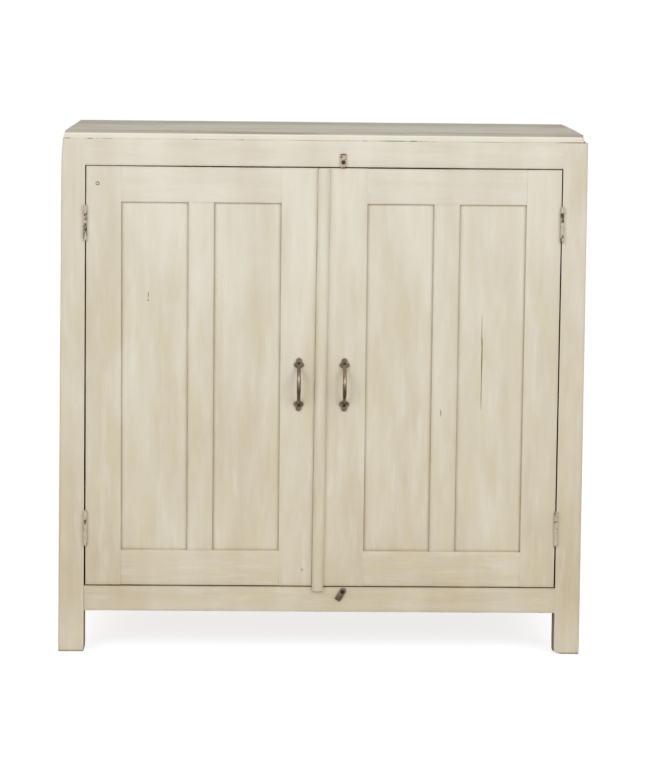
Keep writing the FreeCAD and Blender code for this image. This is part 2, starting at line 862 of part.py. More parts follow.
def door(word, hand, width, meeting_width, meeting_cuts):
    panel_y = "door_front + door_panel_recess"
    groove_y = f"{panel_y} - panel_play / 2"
    groove_dy = "door_panel_thickness + panel_play"
    meeting = f"{width} - {meeting_width}"
    panel_width = f"({meeting} - hinge_stile_width - muntin_width) / 2"
    muntin_start = f"hinge_stile_width + {panel_width}"
    muntin_end = f"{muntin_start} + muntin_width"
    sight = "door_sight_top - door_sight_bottom"
    tenon_height = {
        level: f"door_{level}_rail_height - groove_depth - door_tenon_shoulder"
        for level in ("top", "bottom")
    }
    rail_z = {"top": "door_sight_top", "bottom": "door_bottom"}
    tenon_z = {
        "top": "door_sight_top + groove_depth",
        "bottom": "door_bottom + door_tenon_shoulder",
    }
    peg_z = {"top": "door_top - peg_inset", "bottom": "door_bottom + peg_inset"}

    def block(start, end, y, dy, z, dz):
        x, dx = span(hand, "door_edge", start, end)
        return box(x, y, z, dx, dy, dz)

    pegs = []
    peg_holes = {"hinge": {}, "meeting": {}}
    peg_starts = {
        "hinge": "hinge_stile_width - peg_from_shoulder",
        "meeting": f"{meeting} + peg_from_shoulder",
    }
    for edge, start in peg_starts.items():
        for level, z in peg_z.items():
            peg, hole = peg_hole_and_peg(at(hand, "door_edge", start), z)
            pegs.append(peg)
            peg_holes[edge][level] = hole

    def stile(name, start, end, groove_start, groove_end, mortise_start, mortise_end, cuts):
        blank = block(
            start, end, "door_front", "door_thickness", "door_bottom", "door_top - door_bottom",
        )
        groove = block(
            groove_start, groove_end, groove_y, groove_dy,
            "door_sight_bottom - groove_depth", f"{sight} + 2 * groove_depth",
        )
        mortises = [
            block(
                mortise_start, mortise_end, panel_y, "door_panel_thickness", z, tenon_height[level],
            )
            for level, z in tenon_z.items()
        ]
        keep(cut(blank, [groove] + mortises + cuts), f"{word}_door_{name}")

    stile(
        "hinge_stile", "0", "hinge_stile_width",
        "hinge_stile_width - groove_depth", "hinge_stile_width + overrun",
        "hinge_stile_width - door_tenon_length - mortise_room", "hinge_stile_width + overrun",
        list(peg_holes["hinge"].values()) + door_hinge_cuts[hand],
    )
    stile(
        "meeting_stile", meeting, width,
        f"{meeting} - overrun", f"{meeting} + groove_depth",
        f"{meeting} - overrun", f"{meeting} + door_tenon_length + mortise_room",
        list(peg_holes["meeting"].values()) + meeting_cuts,
    )

    core_start = f"{muntin_start} + groove_depth"
    core_end = f"{muntin_end} - groove_depth"
    groove_z = {
        "top": "door_sight_top - overrun",
        "bottom": "door_sight_bottom - groove_depth",
    }
    housing_z = {
        "top": "door_sight_top - overrun",
        "bottom": "door_sight_bottom - muntin_tenon_length - mortise_room",
    }
    for level in ("top", "bottom"):
        bar = block(
            "hinge_stile_width", meeting, "door_front", "door_thickness",
            rail_z[level], f"door_{level}_rail_height",
        )
        tenons = block(
            "hinge_stile_width - door_tenon_length", f"{meeting} + door_tenon_length",
            panel_y, "door_panel_thickness", tenon_z[level], tenon_height[level],
        )
        groove = block(
            "hinge_stile_width", meeting, groove_y, groove_dy,
            groove_z[level], "groove_depth + overrun",
        )
        housing = block(
            core_start, core_end, panel_y, "door_panel_thickness",
            housing_z[level], "muntin_tenon_length + mortise_room + overrun",
        )
        holes = [peg_holes["hinge"][level], peg_holes["meeting"][level]]
        keep(cut(fuse([bar, tenons]), [groove, housing] + holes), f"{word}_door_{level}_rail")

    bar = block(
        muntin_start, muntin_end, "door_front", "door_thickness", "door_sight_bottom", sight,
    )
    core = block(
        core_start, core_end, panel_y, "door_panel_thickness",
        "door_sight_bottom - muntin_tenon_length", f"{sight} + 2 * muntin_tenon_length",
    )
    grooves = [
        block(start, end, groove_y, groove_dy, "door_sight_bottom", sight)
        for start, end in (
            (f"{muntin_start} - overrun", core_start),
            (core_end, f"{muntin_end} + overrun"),
        )
    ]
    keep(fuse([cut(bar, grooves), core]), f"{word}_door_muntin")

    panel_ends = {
        "outer": ("hinge_stile_width - tongue", f"{muntin_start} + tongue"),
        "inner": (f"{muntin_end} - tongue", f"{meeting} + tongue"),
    }
    for name, (start, end) in panel_ends.items():
        keep(block(
            start, end, panel_y, "door_panel_thickness",
            "door_sight_bottom - tongue", f"{sight} + 2 * tongue",
        ), f"{word}_door_{name}_panel")

    keep(group(pegs), f"{word}_door_pegs")
    keep(group(door_leaves[hand]), f"{word}_door_hinge_leaves")
    keep(group(door_leaf_screws[hand]), f"{word}_door_hinge_screws")


# Half-round strip, planted on the right door, with a rounded lower end


def cover_strip():
    face = "door_front - strip_depth"
    bottom = "door_bottom - strip_drop"
    upper = box(
        "-strip_width / 2", face, f"{bottom} + strip_end_radius",
        "strip_width", "strip_depth", "door_top - door_bottom + strip_drop - strip_end_radius",
    )
    lower = box(
        "-strip_width / 2", f"{face} + strip_end_radius", bottom,
        "strip_width", "strip_depth - strip_end_radius", "2 * strip_end_radius",
    )
    nose = cylinder(
        "+x", "-strip_width / 2", f"{face} + strip_end_radius", f"{bottom} + strip_end_radius",
        "strip_end_radius", "strip_width",
    )
    rise = "(strip_depth - strip_edge)"
    crown_radius = f"((strip_width / 2) ^ 2 + {rise} ^ 2) / (2 * {rise})"
    crown = cylinder(
        "+z", "0", f"{face} + {crown_radius}", f"{bottom} - overrun",
        crown_radius, "door_top - door_bottom + strip_drop + 2 * overrun",
    )
    strip = doc.addObject("Part::MultiCommon", "half_round")
    strip.Shapes = [fuse([upper, lower, nose]), crown]
    return strip


strip_nails = []
strip_nail_holes = []
for share in strip_nail_shares:
    z = along("door_bottom", "door_top", share)
    face = "door_front - strip_depth"
    strip_nails.append(cylinder("+y", "0", face, z, "strip_nail_radius", "strip_nail_length"))
    strip_nail_holes.append(cylinder(
        "+y", "0", f"{face} - overrun", z,
        "strip_nail_radius + nail_fit", "strip_nail_length + overrun + nail_fit",
    ))

left_handle_holes = handle("left", "-handle_from_middle")
right_handle_holes = handle("right", "handle_from_middle")
door("left", left, "left_door_width", "left_meeting_stile_width", left_handle_holes)
door(
    "right", right, "right_door_width", "right_meeting_stile_width",
    right_handle_holes + strip_nail_holes,
)
keep(cut(cover_strip(), strip_nail_holes), "cover_strip")
keep(group(strip_nails), "cover_strip_nails")

# Turn buttons: a short arm that ends clear of the door and a long arm that can lap it


def turn_button(name, arm, short_arm, turn):
    body = doc.addObject("PartDesign::Body", f"{name}_blank")
    sketch = new_sketch(body, "XZ_Plane", f"{name}_outline")
    half = sizes["button_width"] / 2
    top = FreeCAD.Vector(0, sizes[arm], 0)
    side_step = FreeCAD.Vector(half, 0, 0)
    low = FreeCAD.Vector(0, -half, 0)
    sketch.addGeometry(Part.LineSegment(low - side_step, top - side_step), False)
    sketch.addGeometry(Part.LineSegment(top - side_step, top + side_step), False)
    sketch.addGeometry(Part.LineSegment(top + side_step, low + side_step), False)
    bottom = low + FreeCAD.Vector(0, -half, 0)
    sketch.addGeometry(Part.Arc(low - side_step, bottom, low + side_step), False)
    sketch.addConstraint(Sketcher.Constraint("Coincident", 0, 2, 1, 1))
    sketch.addConstraint(Sketcher.Constraint("Coincident", 1, 2, 2, 1))
    sketch.addConstraint(Sketcher.Constraint("Vertical", 0))
    sketch.addConstraint(Sketcher.Constraint("Horizontal", 1))
    sketch.addConstraint(Sketcher.Constraint("Vertical", 2))
    sketch.addConstraint(Sketcher.Constraint("Tangent", 0, 1, 3, 1))
    sketch.addConstraint(Sketcher.Constraint("Tangent", 2, 2, 3, 2))
    sketch.addConstraint(Sketcher.Constraint("PointOnObject", 3, 3, -2))
    measure(sketch, "Radius", half, "button_width / 2", 3)
    measure(sketch, "DistanceY", sizes[arm], arm, -1, 1, 1, 1)
    measure(sketch, "DistanceY", half, f"{short_arm} - button_width / 2", 3, 3, -1, 1)
    pad = body.newObject("PartDesign::Pad", f"{name}_pad")
    pad.Profile = sketch
    bind(pad, Length="button_thickness")
    doc.recompute()
    x, z = button_pivots[name]
    turned = FreeCAD.Rotation(directions["+y"], 1)
    body.Placement = FreeCAD.Placement(FreeCAD.Vector(), turned)
    body.setExpression("Placement.Rotation.Angle", formula(turn))
    bind(body, x=x, y=button_back, z=z)
    boss = cylinder("+y", x, button_back, z, "button_boss_radius", "door_proud + button_gap")
    bore = cylinder(
        "+y", x, f"{button_back} - button_thickness - overrun", z,
        "button_screw_radius + button_screw_clearance",
        "button_thickness + door_proud + button_gap + 2 * overrun",
    )
    keep(cut(fuse([body, boss]), [bore]), f"{name}_turn_button")


half_turn = 180
turn_button("top", "top_button_arm", "top_button_rise - button_clear", "0")
turn_button(
    "bottom", "bottom_button_arm",
    "button_width / 2 + (bottom_button_drop - button_clear - button_width / 2)"
    " / cos(bottom_button_angle)",
    f"{half_turn} + bottom_button_angle",
)

doc.recompute()

failed = [item.Name for item in doc.Objects if {"Invalid", "Error"} & set(item.State)]
if failed:
    raise RuntimeError(f"objects that did not build: {failed}")
for node in nodes:
    if node.Shape.isNull() or not node.Shape.isValid() or not node.Shape.Solids:
        raise RuntimeError(f"bad shape: {node.Label}")

os.makedirs("parts", exist_ok=True)
for node in nodes:
    node.Shape.exportStep(f"parts/{node.Label}.step")
    volume = sum(solid.Volume for solid in node.Shape.Solids)
    print(f"{node.Label}: {len(node.Shape.Solids)} solids, {volume:.1f} mm3")
print(f"{len(nodes)} pieces written")
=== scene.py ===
import bpy
import math
from mathutils import Matrix, Vector


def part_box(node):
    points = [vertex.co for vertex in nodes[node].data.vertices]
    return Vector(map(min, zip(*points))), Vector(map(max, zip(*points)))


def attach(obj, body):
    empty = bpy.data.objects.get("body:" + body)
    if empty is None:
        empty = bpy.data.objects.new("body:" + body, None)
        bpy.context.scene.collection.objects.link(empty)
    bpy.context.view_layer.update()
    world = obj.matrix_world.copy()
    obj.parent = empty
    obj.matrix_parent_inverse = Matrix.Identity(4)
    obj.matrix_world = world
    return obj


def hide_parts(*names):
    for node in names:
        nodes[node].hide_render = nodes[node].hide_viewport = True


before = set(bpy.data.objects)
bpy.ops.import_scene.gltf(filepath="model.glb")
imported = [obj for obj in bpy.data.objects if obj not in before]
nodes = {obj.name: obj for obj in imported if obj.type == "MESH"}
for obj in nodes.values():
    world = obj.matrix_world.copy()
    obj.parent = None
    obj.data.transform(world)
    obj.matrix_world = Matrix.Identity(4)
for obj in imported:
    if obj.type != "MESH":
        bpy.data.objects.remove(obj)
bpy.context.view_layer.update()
print("frame loaded with", len(nodes), "solids")


squareOn = 0.9   # least part of a normal for a face that looks along an axis


# working as in the viewport: start with nothing selected, pick by place or direction
def startClean():
    bpy.ops.object.select_all(action="DESELECT")


def takeHold(piece):
    startClean()
    piece.select_set(True)
    bpy.context.view_layer.objects.active = piece


def startEditing():
    bpy.ops.object.mode_set(mode="EDIT")


def stopEditing():
    bpy.ops.object.mode_set(mode="OBJECT")


def pickAll():
    startEditing()
    bpy.ops.mesh.select_all(action="SELECT")


def pick(piece, part, kind, test):
    takeHold(piece)
    startEditing()
    bpy.ops.mesh.select_mode(type=kind)
    bpy.ops.mesh.select_all(action="DESELECT")
    stopEditing()
    for item in getattr(piece.data, part):
        item.select = test(item)
    startEditing()


# faces that look one way, or both ways, along an axis
def pickFacing(piece, axis, ways=(-1, 1), least=0.0):
    def looksOut(face):
        return max(face.normal[axis] * way for way in ways) > squareOn and face.area > least

    pick(piece, "polygons", "FACE", looksOut)


def pickPoints(piece, test):
    pick(piece, "vertices", "VERT", lambda point: test(point.co))


def pickEdges(piece, test):
    def bothEnds(edge):
        start, end = edge.vertices
        return test(piece.data.vertices[start].co, piece.data.vertices[end].co)

    pick(piece, "edges", "EDGE", bothEnds)


def runsAlong(start, end, axis, least):
    run = end - start
    return abs(run[axis]) > 0.999 * run.length and run.length > least


def roundOver(offset, steps, profile=0.5, clamp=False):
    bpy.ops.mesh.bevel(offset=offset, segments=steps, profile=profile, affect="EDGES", clamp_overlap=clamp)
    stopEditing()


def settle():
    bpy.ops.object.transform_apply(location=True, rotation=True, scale=True)


def smooth(piece, angle=40):
    takeHold(piece)
    bpy.ops.object.shade_smooth_by_angle(angle=math.radians(angle))


def addBlock(middle, size, turn=(0, 0, 0)):
    startClean()
    bpy.ops.mesh.primitive_cube_add(size=1, location=middle, rotation=turn)
    block = bpy.context.object
    block.scale = size
    settle()
    return block


# a cylinder that faces the front, or up where lean is 0
def addRound(radius, depth, place, sides=28, lean=90):
    startClean()
    bpy.ops.mesh.primitive_cylinder_add(vertices=sides, radius=radius, depth=depth, location=place,
                                        rotation=(math.radians(lean), 0, 0))
    settle()
    return bpy.context.object


def adjust(thing, settings):
    for title, setting in settings.items():
        setattr(thing, title, setting)


# a modifier, set and applied at once
def change(piece, kind, **settings):
    takeHold(piece)
    tool = piece.modifiers.new("change", kind)
    adjust(tool, settings)
    bpy.ops.object.modifier_apply(modifier=tool.name)


def combine(piece, other, way):
    change(piece, "BOOLEAN", operation=way, solver="EXACT", object=other)
    bpy.data.objects.remove(other)


def cutAway(piece, cutter):
    combine(piece, cutter, "DIFFERENCE")


def gather(pieces, name):
    startClean()
    for piece in pieces:
        piece.select_set(True)
    bpy.context.view_layer.objects.active = pieces[0]
    bpy.ops.object.join()
    joined = bpy.context.object
    joined.name = name
    return joined


def addObject(name, data, place):
    thing = bpy.data.objects.new(name, data)
    thing.location = place
    bpy.context.scene.collection.objects.link(thing)
    return thing


def dressUp(piece, material, body, slot, *stands):
    piece.data.materials.clear()
    piece.data.materials.append(material)
    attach(piece, body)
    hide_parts(*stands)


# colours are written as they look, 0 to 255
def tone(*parts):
    shares = [part / 255 for part in parts]
    linear = [share / 12.92 if share <= 0.04045 else ((share + 0.055) / 1.055) ** 2.4 for share in shares]
    return (*linear, 1)


# shader nodes go into the tree on the bench; a value is a number, a colour or another node's output
bench = {}


def feed(value, socket):
    if isinstance(value, (int, float, tuple)):
        socket.default_value = value
    else:
        bench["tree"].links.new(value, socket)


def fill(node, values):
    for title, value in values.items():
        feed(value, node.inputs[title])


def addNode(kind, values, **settings):
    node = bench["tree"].nodes.new("ShaderNode" + kind)
    adjust(node, settings)
    fill(node, values)
    return node.outputs


def noise(vector, scale, detail, roughness):
    values = {"Vector": vector, "Scale": scale, "Detail": detail, "Roughness": roughness}
    return addNode("TexNoise", values)["Fac"]


def spread(value, low, high, toLow=0.0, toHigh=1.0):
    values = {"Value": value, "From Min": low, "From Max": high, "To Min": toLow, "To Max": toHigh}
    return addNode("MapRange", values)["Result"]


def sums(kind, first, second=0):
    return addNode("Math", {0: first, 1: second}, operation=kind)[0]


def times(first, *others):
    for other in others:
        first = sums("MULTIPLY", first, other)
    return first


def plus(first, *others):
    for other in others:
        first = sums("ADD", first, other)
    return first


def minus(first, second):
    return sums("SUBTRACT", first, second)


def larger(first, second):
    return sums("MAXIMUM", first, second)


def vectorSums(kind, first, second):
    return addNode("VectorMath", {0: first, 1: second}, operation=kind)[0]


def squeezed(vector, scale):
    return vectorSums("MULTIPLY", vector, scale)


def split(vector):
    return addNode("SeparateXYZ", {0: vector})


def blend(share, first, second):
    return addNode("Mix", {"Factor": share, 6: first, 7: second}, data_type="RGBA")[2]


def whereOn(kind):
    return addNode("TexCoord", {})[kind]


# node groups shared by the finishes
def newGroup(name, vectors, values, results):
    group = bpy.data.node_groups.new(name, "ShaderNodeTree")
    bench["tree"] = group
    sockets = ((vectors, "INPUT", "Vector"), (values, "INPUT", "Float"), (results, "OUTPUT", "Float"))
    for titles, way, kind in sockets:
        for title in titles:
            group.interface.new_socket(name=title, in_out=way, socket_type="NodeSocket" + kind)
    return group, group.nodes.new("NodeGroupInput").outputs, group.nodes.new("NodeGroupOutput")


# brush marks: scale, detail and roughness, and the part of the range that is kept
brushLook = {
    "Cloud": (10.0, 3.0, 0.5, 0.35, 0.65),
    "Straw": (29.0, 3.0, 0.55, 0.45, 0.72),
    "Mottle": (24.0, 7.0, 0.7, 0.3, 0.7),
    "Streak": (60.0, 3.0, 0.55, 0.3, 0.7),
    "Hair": (420.0, 2.0, 0.5, 0.3, 0.7),
}
cloudSqueeze = (1, 1, 0.3)


# all but the clouds are drawn out along the board, some once and some twice
def brushGroup():
    group, given, out = newGroup("brushMarks", ("Place", "Vector", "Draw Out"), (), brushLook)
    place = given["Place"]
    drawOut = given["Draw Out"]
    once = squeezed(place, drawOut)
    twice = squeezed(squeezed(given["Vector"], drawOut), drawOut)
    ways = {
        "Cloud": squeezed(place, cloudSqueeze),
        "Straw": once,
        "Mottle": squeezed(vectorSums("ADD", once, place), drawOut),
        "Streak": twice,
        "Hair": twice,
    }
    for title, (scale, detail, roughness, low, high) in brushLook.items():
        fill(out, {title: spread(noise(ways[title], scale, detail, roughness), low, high)})
    return group


# edges: glaze that gathers near them, on the panels standing also for painted shade in the recess around
# them, and paint rubbed off the very corner
def edgeGroup():
    group, given, out = newGroup("edgeWear", ("Vector",), ("Edge Gap", "Reach", "Rub"), ("GlazeAndShade", "Bare"))
    gap = given["Edge Gap"]
    patch = spread(noise(given["Vector"], 24.0, 4.0, 0.6), 0.34, 0.66)
    grit = spread(noise(given["Vector"], 160.0, 3.0, 0.6), 0.3, 0.7)
    fade = spread(sums("DIVIDE", gap, given["Reach"]), 0.0, 1.0, 1.0, 0.0)
    glaze = times(sums("POWER", fade, 1.6), spread(patch, 0, 1, 0.5, 1))
    corner = spread(gap, 0.0003, 0.0022, 1.0, 0.0)
    chance = times(corner, patch, given["Rub"], grit)
    fill(out, {"GlazeAndShade": glaze, "Bare": spread(chance, 0.22, 0.42)})
    return group


# small dark nicks, drawn out along the board
def nickGroup():
    group, given, out = newGroup("nicks", ("Vector", "Draw Out"), (), ("Nick",))
    dots = noise(squeezed(given["Vector"], given["Draw Out"]), 95.0, 2.0, 0.5)
    crowd = times(noise(given["Vector"], 11.0, 2.0, 0.5), 0.35)
    fill(out, {"Nick": spread(plus(dots, crowd), 1.0, 1.04)})
    return group


# painted shade, standing also for grime and bare wood, in the gaps beside and above the doors, and painted
# shade inside the legs, under the feet and in openings under the top board; each pair runs from none of it
# to all of it
gapLook = {
    "turned": (0.45, 0.75),   # how square a face stands to the gap
    "doorDepth": ((-0.186, -0.189), (-0.2112, -0.2105)),
    "besideDoor": ((0.476, 0.4785), (0.4875, 0.4865)),   # from the middle
    "besideHeight": ((0.138, 0.142),),
    "aboveDoor": ((0.993, 0.996), (1.008, 1.006)),
    "aboveReach": ((0.44, 0.2),),
    "seamHeight": ((1.0567, 1.0558), (1.0545, 1.0552)),
    "seamFacing": ((0, -0.4),),
    "legFacing": ((-0.2, -0.4),),
    "legHeight": ((0.09, 0.08, 0.0, 0.62),),
    "footHeight": ((0.0045, 0.001, 0.0, 0.75),),
    "openings": ((0.51, 0.05), (-0.5185, 0.0085), (-0.4725, 0.0085), (0.139, 0.034), (0.178, 0.011)),
    "openingCore": 0.4,
}


def gapGroup():
    group, given, out = newGroup("gapShadeAndGrime", ("Place", "Facing"), (), ("ShadeAndGrime",))
    place = split(given["Place"])
    facing = split(given["Facing"])
    outward = sums("ABSOLUTE", place["X"])

    def within(value, name):
        return times(*[spread(value, *ends) for ends in gapLook[name]])

    def turned(value):
        return spread(sums("ABSOLUTE", value), *gapLook["turned"])

    # painted shade, with some grime, in the gaps beside and above the doors
    beside = times(turned(facing["X"]), within(outward, "besideDoor"), within(place["Z"], "besideHeight"))
    above = times(turned(facing["Z"]), within(place["Z"], "aboveDoor"), within(outward, "aboveReach"))
    shadeAndGrime = times(larger(beside, above), within(place["Y"], "doorDepth"))
    # painted shade on the inner faces of the legs and at the very bottom of the feet
    inLegs = within(times(place["X"], facing["X"]), "legFacing")
    inLegs = times(inLegs, within(place["Z"], "legHeight"))
    shadeAndGrime = larger(shadeAndGrime, larger(inLegs, within(place["Z"], "footHeight")))
    # painted shade in the openings under the top board's front edge
    seam = times(within(place["Z"], "seamHeight"), within(facing["Y"], "seamFacing"))
    for middle, half in gapLook["openings"]:
        offset = sums("ABSOLUTE", minus(place["X"], middle))
        opening = spread(offset, half, half * gapLook["openingCore"])
        shadeAndGrime = larger(shadeAndGrime, times(seam, opening))
    fill(out, {"ShadeAndGrime": shadeAndGrime})
    return group


brushMarks = brushGroup()
edgeWear = edgeGroup()
nicks = nickGroup()
gapShadeAndGrime = gapGroup()


def newMaterial(name):
    material = bpy.data.materials.new(name)
    material.use_nodes = True
    bench["tree"] = material.node_tree
    return material, material.node_tree.nodes["Principled BSDF"]


def readMark(name):
    return addNode("Attribute", {}, attribute_name=name)["Fac"]


# object coordinates, pushed along by the board's own seed so no two boards share marks
def boardMarks(drawOut):
    place = whereOn("Object")
    seed = readMark("boardSeed")
    pushed = vectorSums("ADD", place, addNode("CombineXYZ", {0: seed, 1: seed, 2: seed})[0])
    marks = addNode("Group", {"Place": place, "Vector": pushed, "Draw Out": drawOut}, node_tree=brushMarks)
    nick = addNode("Group", {"Vector": pushed, "Draw Out": drawOut}, node_tree=nicks)["Nick"]
    return place, pushed, marks, nick


def bumpFrom(height, distance, strength):
    return addNode("Bump", {"Height": height, "Distance": distance, "Strength": strength})[0]


# shares that change with a place are given as from, to, and the shares there
limewash = {
    "cream": tone(232, 226, 210),
    "tan": tone(202, 187, 159),
    "straw": tone(214, 201, 164),
    "pale": tone(237, 232, 221),
    "glaze": tone(157, 134, 101),
    "bareWood": tone(112, 88, 62),
    "nick": tone(92, 74, 56),
    # colour of the painted shade and grime in the gaps, inside the legs, under the feet and under the top
    # board
    "gapShadeAndGrime": tone(76, 62, 47),
    "roughness": (0.54, 0.72),
    "bump": (0.0006, 0.35),
    "specular": 0.35,
    "tanMarks": (("Cloud", 0.58, 0.36), ("Streak", 0.5, 0.09), ("Mottle", 0.5, 0.26)),   # middle and share
    "tanHeights": ((1.0, 0.15, 0.15, 0.6), (0.25, 0.12, 0.0, 0.15), (0.12, 0.04, 0.0, -0.36)),
    "tanOutward": (0.40, 0.50, 0.0, 0.2),
    "strawHeight": (0.95, 0.55, 0.12, 0.55),
    "paleMottle": (0.42, 0.05, 0.0, 0.2),
    "paleHair": 0.12,
}
topPaint = {
    "grey": tone(150, 144, 115),
    # colour of the painted highlight on the top's faces that don't look up
    "edgeHighlight": tone(247, 241, 229),
    "upFace": (0.1, 0.25),
    "frontShade": (-0.145, -0.175),   # painted shade along the front and the back
    "backShade": (0.06, 0.13),
    "shadeShares": (0, 1, 0.2, 0.36),
    # painted shade on the front round-over
    "roundShade": (0.97, 0.8, 0.0, 0.3),
    "highlightHeight": (1.0625, 1.0655, 0.35, 0.8),
}


# the top is greyed, with painted shade along its front and back and on its front round-over, and its
# faces that don't look up are paler, a painted highlight
def greyTop(colour, parts, normal, streak, greyShare):
    up = split(normal)["Z"]
    upFace = spread(up, *topPaint["upFace"])
    # painted shade along the front and the back of the top, broken by the streaks
    shadeBands = plus(spread(parts["Y"], *topPaint["frontShade"]),
                 spread(parts["Y"], *topPaint["backShade"]))
    shadeBands = times(shadeBands, spread(streak, *topPaint["shadeShares"]))
    # grey streaks of the top, with the painted shade added
    grey = plus(spread(streak, 0.4, 0.9, 0.0, greyShare), shadeBands,
                spread(up, *topPaint["roundShade"]))
    colour = blend(times(grey, upFace), colour, topPaint["grey"])
    # painted highlight: faces of the top that don't look up are paler, most near its upper edge
    white = minus(spread(parts["Z"], *topPaint["highlightHeight"]), upFace)
    return blend(larger(white, 0), colour, topPaint["edgeHighlight"])


# limewashed paint with a tan glaze, tanner towards the floor and the posts, with painted shade and grime in
# the gaps; drawOut says which way the brush went
def makeLimewash(name, drawOut, tanShare=0.0, reach=0.007, glazeShare=0.22, rub=0.0, greyShare=0.0):
    material, shader = newMaterial(name)
    place, pushed, marks, nick = boardMarks(drawOut)
    normal = whereOn("Normal")
    given = {"Edge Gap": readMark("edgeGap"), "Vector": pushed, "Reach": reach, "Rub": rub}
    edges = addNode("Group", given, node_tree=edgeWear)
    # where the painted shade and grime go
    shadeAndGrime = addNode("Group", {"Place": place, "Facing": normal}, node_tree=gapShadeAndGrime)["ShadeAndGrime"]
    parts = split(place)
    tans = [times(minus(marks[title], middle), part) for title, middle, part in limewash["tanMarks"]]
    tans += [spread(parts["Z"], *ends) for ends in limewash["tanHeights"]]
    tans.append(spread(sums("ABSOLUTE", parts["X"]), *limewash["tanOutward"]))
    share = spread(plus(*tans, tanShare), 0.0, 1.0)
    colour = blend(share, limewash["cream"], limewash["tan"])
    strawShare = times(marks["Straw"], spread(parts["Z"], *limewash["strawHeight"]))
    colour = blend(strawShare, colour, limewash["straw"])
    lift = plus(times(spread(marks["Hair"], 0.5, 1.0), limewash["paleHair"]),
                spread(marks["Mottle"], *limewash["paleMottle"]))
    colour = blend(lift, colour, limewash["pale"])
    if greyShare > 0:
        colour = greyTop(colour, parts, normal, marks["Streak"], greyShare)
    colour = blend(times(edges["GlazeAndShade"], glazeShare), colour, limewash["glaze"])
    colour = blend(edges["Bare"], colour, limewash["bareWood"])
    colour = blend(times(nick, 0.8), colour, limewash["nick"])
    # the painted shade and grime, broken up by the mottle
    shadeAndGrime = times(shadeAndGrime, spread(marks["Mottle"], 0, 1, 0.7, 1))
    colour = blend(shadeAndGrime, colour, limewash["gapShadeAndGrime"])
    height = plus(times(marks["Hair"], 0.5), marks["Streak"])
    height = minus(minus(height, times(edges["Bare"], 1.5)), nick)
    fill(shader, {
        "Base Color": colour,
        "Roughness": spread(marks["Streak"], 0.0, 1.0, *limewash["roughness"]),
        "Normal": bumpFrom(height, *limewash["bump"]),
        "Specular IOR Level": limewash["specular"],
    })
    return material


drawn = {"x": (0.22, 1, 1), "y": (1, 0.22, 1), "z": (1, 1, 0.22)}
paintUpright = makeLimewash("limewashUpright", drawn["z"], rub=0.42)
paintLevel = makeLimewash("limewashLevel", drawn["x"], rub=0.5)
paintSide = makeLimewash("limewashSide", drawn["y"], glazeShare=0.25, rub=0.6)
# the panels' strong glaze at their borders is partly painted shade in the recess around them
paintPanel = makeLimewash("limewashPanel", drawn["z"], reach=0.0045, glazeShare=0.8)
paintTop = makeLimewash("limewashTop", drawn["x"], -0.1, 0.004, glazeShare=0.2, rub=0.7, greyShare=0.24)
paintPeg = makeLimewash("limewashPeg", drawn["z"], 0.1, reach=0.0022, glazeShare=0.75)
paintStrip = makeLimewash("limewashStrip", drawn["z"], -0.02, reach=0.0035, glazeShare=0.5, rub=0.3)

oldPine = {"light": tone(178, 142, 100), "dark": tone(128, 94, 62), "grime": tone(92, 72, 54)}


def makePine(name, drawOut):
    material, shader = newMaterial(name)
    marks, nick = boardMarks(drawOut)[2:]
    share = plus(times(marks["Streak"], 0.6), times(marks["Hair"], 0.25))
    colour = blend(share, oldPine["light"], oldPine["dark"])
    colour = blend(times(marks["Cloud"], 0.35), colour, oldPine["grime"])
    colour = blend(nick, colour, oldPine["grime"])
    fill(shader, {
        "Base Color": colour,
        "Roughness": spread(marks["Streak"], 0, 1, 0.62, 0.82),
        "Normal": bumpFrom(plus(marks["Streak"], marks["Hair"]), 0.0005, 0.4),
    })
    return material


pineUpright = makePine("oldPineUpright", drawn["z"])
pineLevel = makePine("oldPineLevel", drawn["x"])
pineDeep = makePine("oldPineDeep", drawn["y"])


# metal: a dark skin, rubbed brighter in patches
def makeMetal(name, dark, bright, brightShare, metallic, roughness):
    material, shader = newMaterial(name)
    place = whereOn("Object")
    patch = spread(noise(place, 90.0, 4.0, 0.6), 0.35, 0.65)
    grit = spread(noise(place, 700.0, 3.0, 0.6), 0.3, 0.7)
    share = times(plus(times(patch, 0.7), times(grit, 0.3)), brightShare)
    fill(shader, {
        "Base Color": blend(share, dark, bright),
        "Roughness": spread(patch, 0, 1, roughness + 0.1, roughness - 0.08),
        "Metallic": spread(grit, 0, 1, metallic - 0.12, metallic),
        "Normal": bumpFrom(grit, 0.0002, 0.3),
    })
    return material


bronze = makeMetal("handleBronze", tone(112, 98, 82), tone(178, 162, 140), 0.8, 0.92, 0.34)
screwIron = makeMetal("screwIron", tone(58, 46, 38), tone(96, 82, 68), 0.6, 0.7, 0.5)
buttonSteel = makeMetal("buttonSteel", tone(112, 94, 76), tone(170, 152, 134), 0.7, 0.6, 0.5)

# chips by height: from, to, and what is added there
moreChipsUp = ((0.4, 0.8, 0.0, 0.09),)
# on the top button: a dark band at its upper end, a painted shadow line, and more bare metal at its lower
# end
buttonEndShadeAndChips = ((1.0262, 1.0272, 0.0, 0.5), (1.0045, 1.0015, 0.0, 0.28))
chippedMetal = tone(118, 104, 88)


